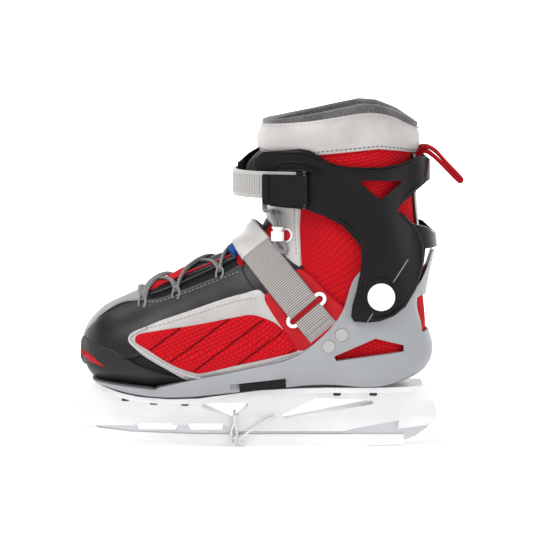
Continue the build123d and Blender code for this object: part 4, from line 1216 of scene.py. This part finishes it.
def ladder_piece():
    """The toothed strap: it wraps the front of the cuff and ends under the lever."""
    step, pitch, middle = 0.26, 2.3, 208.75
    plan = [(-3.4, 36.7), (-11.7, 30.8), (-19.2, 23.5), (-24.6, 15), (-27.3, 6), (-27.6, -7), (-25.6, -19),
            (-20.5, -29.5), (-12.5, -38.4)]
    plan += [tuple(buckle_spot(across, 0, 3.5)[:2]) for across in (-16.5, -8, 0, 8)]
    plan = along(plan, step, smooth=True)
    ahead = unit(np.gradient(plan, axis=0))
    outward = np.stack([ahead[:, 1], -ahead[:, 0]], 1)
    if (outward * (plan - (40, 0))).sum() < 0:
        outward = -outward
    run = np.arange(len(plan)) * step
    tooth = 0.44 * np.clip(np.sin(run / pitch * 2 * np.pi) * 2.2, -0.4, 1)
    face = [(-10.2, 0.6), (-10.25, 1.0), (-9.4, 1.1), (-7.6, 1.2), (-7.2, 1.0), (0, 1.0)]
    section = face + [(-h, o) for h, o in face[-2::-1]] + [(10.2, -1.2), (-10.2, -1.2)]
    verts, uvs = [], []
    for k, p in enumerate(plan):
        for h, o in section:
            x, y = p + outward[k] * (o + (tooth[k] if abs(h) < 7.4 and o > 0 else 0))
            verts.append((x, y, middle + h))
            uvs.append((run[k], h))
    faces = grid_faces(len(plan), len(section), ends=True, turned=True)
    return build_mesh("ladder_strap_teeth", verts, faces, LADDER, uvs, smooth=False)


set_down(ladder_piece(), body="cuff", stands_for=("ladder_strap",))
LEVER_TOP = 7.4
dimples = [(-7.5, 4.2), (-0.4, 1.7), (-6.9, -2.0), (0.3, -4.5), (-6.2, -8.3)]
outward = np.array([-TURN_S, -TURN_C, 0])
set_down(stud("lever_dimples", [buckle_spot(x, z, LEVER_TOP) for x, z in dimples], [outward] * 5,
               [(1.5, 0), (1.45, 0.25), (1.1, 0.35), (0.7, 0.15), (0.3, 0.05)], BLACK, sides=20),
         body="buckle_lever")

def cuff_tube(name, line, out, radius, material, far=False):
    """A moulding, or a painted highlight line, along a line in side view on the outside of the cuff."""
    spots, _ = cuff.place(along(np.array(line, float), 0.8, smooth=True), out, far)
    radius = radius * np.clip(np.sin(np.linspace(0.02, np.pi - 0.02, len(spots))) * 6, 0.15, 1)
    return set_down(tube(name, spots, radius, material, sides=12), body="cuff")


MOULDINGS = {
    "rear": [(98, 188), (106.5, 179.5), (113, 171), (116.6, 160), (116.4, 151), (114.8, 141), (110.5, 129.5),
             (103, 117), (94, 110), (84, 106.3), (74, 105.2)],
    "front": [(48, 185), (57, 179.6), (66, 170.5), (71.3, 163), (72.2, 154), (71.2, 142), (68.3, 127),
              (65.4, 116), (64.6, 107.5)],
    "top": [(4, 232), (22, 233.6), (36, 229.5), (46, 223.8), (56, 220.8), (70, 219.8), (86, 219.8),
            (98, 221.8), (108, 225), (114, 226.8)],
    "band": [(112, 206), (104, 199.6), (99.5, 193.5)],
}
# thin light grey tubes on two embossed ridges of the cuff: a painted highlight of the ridges
RIDGE_HIGHLIGHTS = ([(106, 151.8), (93.6, 133)], [(80.3, 112.8), (74, 102.7)])
TRIM = [(f"cuff_moulding_{name}", line, -0.5, 1.5, BLACK) for name, line in MOULDINGS.items()]
TRIM += [(f"cuff_line_{k}", line, 0.0, 0.4, GREY_THREAD_AND_HIGHLIGHT) for k, line in enumerate(RIDGE_HIGHLIGHTS)]
for name, *shape in TRIM:
    for far, tail in SIDES:
        cuff_tube(name + tail, *shape, far)
RECESS = [(3, 221), (9, 225), (20, 226), (32, 222.5), (42, 216.5), (30, 219), (18, 219.5), (9, 218.6)]
cuff_tube("cuff_lip", RECESS + RECESS[:1], -0.4, 1.2, BLACK)

FLAP = [(-21, 214), (-20, 221), (-12, 229), (-4, 232), (14, 232), (14, 205), (-2, 202), (-19, 208)]
flap_loop = cuff.chart(along(np.array(FLAP, float), 1.5, closed=True, smooth=True), far=True)
flap = panel("flap_lining", cuff, flap_loop, FLAP_GREY, -3.0, -4.2, edge=1.5)
set_down(flap, body="cuff")

# ------------------------------------------------------------ cord lock, pull tab and guard string
CORD_RADIUS, CORD_SHAPE = 1.7, {"sides": 12, "strands": 5, "pitch": 6.0}
STRING_SHAPE = {"sides": 10, "strands": 3, "pitch": 4.0}
LOCK = np.array([5.8, -30.0, 164.6])
cord_end = surf([(-4.0, 188.0)], 2.2)[0]
for k, shift in enumerate((-1.6, 1.6)):
    way = [LOCK + (shift, 0, 10), LOCK + (shift, 0.5, 15), LOCK + (shift * 1.4 - 2, 3.5, 20),
           (cord_end + LOCK + (shift, 3, 20)) / 2 + (0, 1, 1), cord_end + (shift, 0, 0),
           cord_end + (shift - 1, 4, 4)]
    rope(f"lock_cord_{k}", way, CORD_RADIUS, CORD, "lace_grey", body="chassis", **CORD_SHAPE)
way = LOCK + [(-1.6, 0, 0.5), (-1.8, -0.4, -3), (0.6, -0.6, -6.6), (4.4, -1.2, -8.6), (6.4, -1.4, -5.4),
              (4.0, -0.8, -2.0), (1.6, 0, 0.5)]
rope("lock_loop", way, CORD_RADIUS, CORD, "lace_grey", body="chassis", **CORD_SHAPE)

PULL_LOOP = [(112.6, 228), (114.6, 233.2), (120.5, 235.3), (128, 231.8), (137.5, 221.6), (147.6, 211.2),
             (148.3, 208.8), (146.2, 208.6), (137.8, 217), (128.6, 226.3), (121.3, 231.4), (116.6, 230.6),
             (114.5, 226.5)]
tab = ribbon("pull_loop", PULL_LOOP, 17, 3.0, RED_TAPE, rounding=1.3)
set_down(tab, body="cuff", stands_for=("pull_tab",))

def string_ring(name, half, radius, stands_for=()):
    """A closed string round the holder and the guard; half is its outer side, from top to bottom or back."""
    half = np.array(half, float)
    ring = np.vstack([half, (half * [1, -1, 1])[-2:0:-1]])
    rope(name, ring, radius, STRING, "tie_white", "chassis", stands_for=stands_for, closed=True, **STRING_SHAPE)


TIE = [(0, 26.6), (6, 26.6), (9.8, 25), (8.4, 20), (7.4, 13), (6.8, 8), (6.2, 4), (4.2, 1.7), (0, 1.6)]
for k, (spread, stands_for) in enumerate(((-2.4, ("guard_tie",)), (2.2, ()))):
    half = [(-28 + spread * np.sin(np.pi * min(z, 20) / 20), -y, z) for y, z in TIE]
    string_ring(f"guard_string_{k}", half, 0.95, stands_for)
SLANT = [(-27.5, 0, 1.7), (-27.0, -4.4, 1.9), (-25.5, -7.0, 5), (-19, -8.6, 10.5), (-10, -9.0, 17),
         (-2, -8.6, 22), (4, -6.5, 24.5), (7, 0, 25.2)]
string_ring("guard_string_slant", SLANT, 0.85)
t = np.linspace(0, 2 * np.pi, 60, endpoint=False)
knot = np.stack([np.sin(t) + 2 * np.sin(2 * t), -0.8 * np.sin(3 * t), np.cos(t) - 2 * np.cos(2 * t)], 1)
knot = tube("guard_knot", knot * 0.95 + (-26.0, -8.4, 6.0), 0.85, STRING, closed=True, **STRING_SHAPE)
set_down(knot, body="chassis")
STRING_ENDS = ([(-25.4, -9.2, 5.0), (-23.5, -10.0, 3.4), (-21.5, -10.2, 2.2), (-19.5, -10.2, 1.3)],
               [(-26.6, -9.2, 5), (-27.6, -10, 3.2), (-28.8, -10.2, 1.6)])
for k, way in enumerate(STRING_ENDS):
    end = tube(f"guard_string_end_{k}", along(way, 0.6, smooth=True), 0.8, STRING, **STRING_SHAPE)
    set_down(end, body="chassis")

# ------------------------------------------------------------ CAD pieces that stay, floor, light and camera
FINISH = {
    "base_shell": SHELL, "blade_holder": HOLDER, "blade_runner": STEEL, "edge_guard": GUARD,
    "holder_bolts": BOLT_METAL, "pivot_pins": RIVET_METAL, "pivot_caps": WHITE, "cuff_shell": BLACK,
    "buckle_base": BLACK, "buckle_lever": BLACK, "buckle_rivets": RIVET_METAL, "lever_pin": RIVET_METAL,
    "size_slider": SLIDER, "cord_lock_body": WHITE, "cord_lock_button": WHITE, "strap_rivets": LADDER,
    "insole_rear": PLUSH, "insole_front": PLUSH,
}
EDGE = {"base_shell": 0.7, "cuff_shell": 1.1, "blade_holder": 1.2, "blade_runner": 0.25, "edge_guard": 0.8,
        "buckle_lever": 0.7}
OTHER_EDGE = 0.5
for node, material in FINISH.items():
    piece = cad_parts[node]
    piece.data.materials.clear()
    piece.data.materials.append(material)
    bevel = piece.modifiers.new("edges", "BEVEL")
    bevel.width, bevel.segments = EDGE.get(node, OTHER_EDGE) * MM, 2
    bevel.limit_method, bevel.angle_limit = "ANGLE", np.radians(40)
    bevel.harden_normals = True

ELEVATION, DISTANCE, AIM_HEIGHT = np.radians(6.5), 2.2, 0.1385
VIEW_WIDTH, SENSOR = 0.421, 36  # what the camera sees at the object, in metres, and its sensor in millimetres
cam = bpy.data.cameras.new("camera")
camera = bpy.data.objects.new("camera", cam)
bpy.context.scene.collection.objects.link(camera)
bpy.context.scene.camera = camera
camera.location = (0.0, -DISTANCE * np.cos(ELEVATION), AIM_HEIGHT + DISTANCE * np.sin(ELEVATION))
camera.rotation_euler = (np.pi / 2 - ELEVATION, 0, 0)
cam.lens = SENSOR * DISTANCE / VIEW_WIDTH

MIDDLE, LIGHT_SIZE = (0, 0, 0.13), 0.9


def area_light(name, place, power):
    """A soft box at a place, facing the object."""
    data = bpy.data.lights.new(name, "AREA")
    data.energy, data.size = power, LIGHT_SIZE
    light = bpy.data.objects.new(name, data)
    light.location = place
    light.rotation_euler = (Vector(MIDDLE) - Vector(place)).to_track_quat("-Z", "Y").to_euler()
    bpy.context.scene.collection.objects.link(light)


area_light("key", (-0.7, -1.2, 1.5), 22)
area_light("fill", (1.5, -1.3, 0.5), 8)
area_light("top", (-0.45, 0.25, 1.5), 12)
world = bpy.data.worlds.new("studio")
bpy.context.scene.world = world
world.use_nodes = True
background = world.node_tree.nodes["Background"]
background.inputs["Color"].default_value = (1, 1, 1, 1)
background.inputs["Strength"].default_value = 0.25
bpy.context.scene.view_settings.view_transform = "Standard"

# the floor is a disc that curves up into a wall; what lies far behind the object glows, as lit paper does
SWEEP_RADIUS, SWEEP_HEIGHT, SWEEP_BEND = 5000.0, 2600.0, 900
BRIGHT_FROM = 0.2  # metres behind the object
turn = np.linspace(0, 2 * np.pi, TURNS, endpoint=False)
rings = [(450.0, 0.0), (1200.0, 0.0), (0.5 * SWEEP_RADIUS, 0.0)]
rings += [(SWEEP_RADIUS - SWEEP_BEND * (1 - np.sin(k)), SWEEP_BEND * (1 - np.cos(k)))
          for k in np.linspace(0, np.pi / 2, 9)]
rings += [(SWEEP_RADIUS, SWEEP_HEIGHT)]
verts = np.vstack([np.stack([r * np.cos(turn), r * np.sin(turn), np.full(TURNS, z)], 1) for r, z in rings])
faces = [tuple(range(TURNS))] + [f[::-1] for f in grid_faces(len(rings), TURNS)]
floor = build_mesh("floor", verts, faces)
for name, glow in (("floor_paper", 0.22), ("backdrop_paper", 0.95)):
    paper, _, paper_shader = shader(name, (0.93, 0.93, 0.93), 0.8)
    paper_shader.inputs["Emission Color"].default_value = (1, 1, 1, 1)
    paper_shader.inputs["Emission Strength"].default_value = glow
    floor.data.materials.append(paper)
for face in floor.data.polygons:
    face.material_index = int(face.center.y > BRIGHT_FROM)
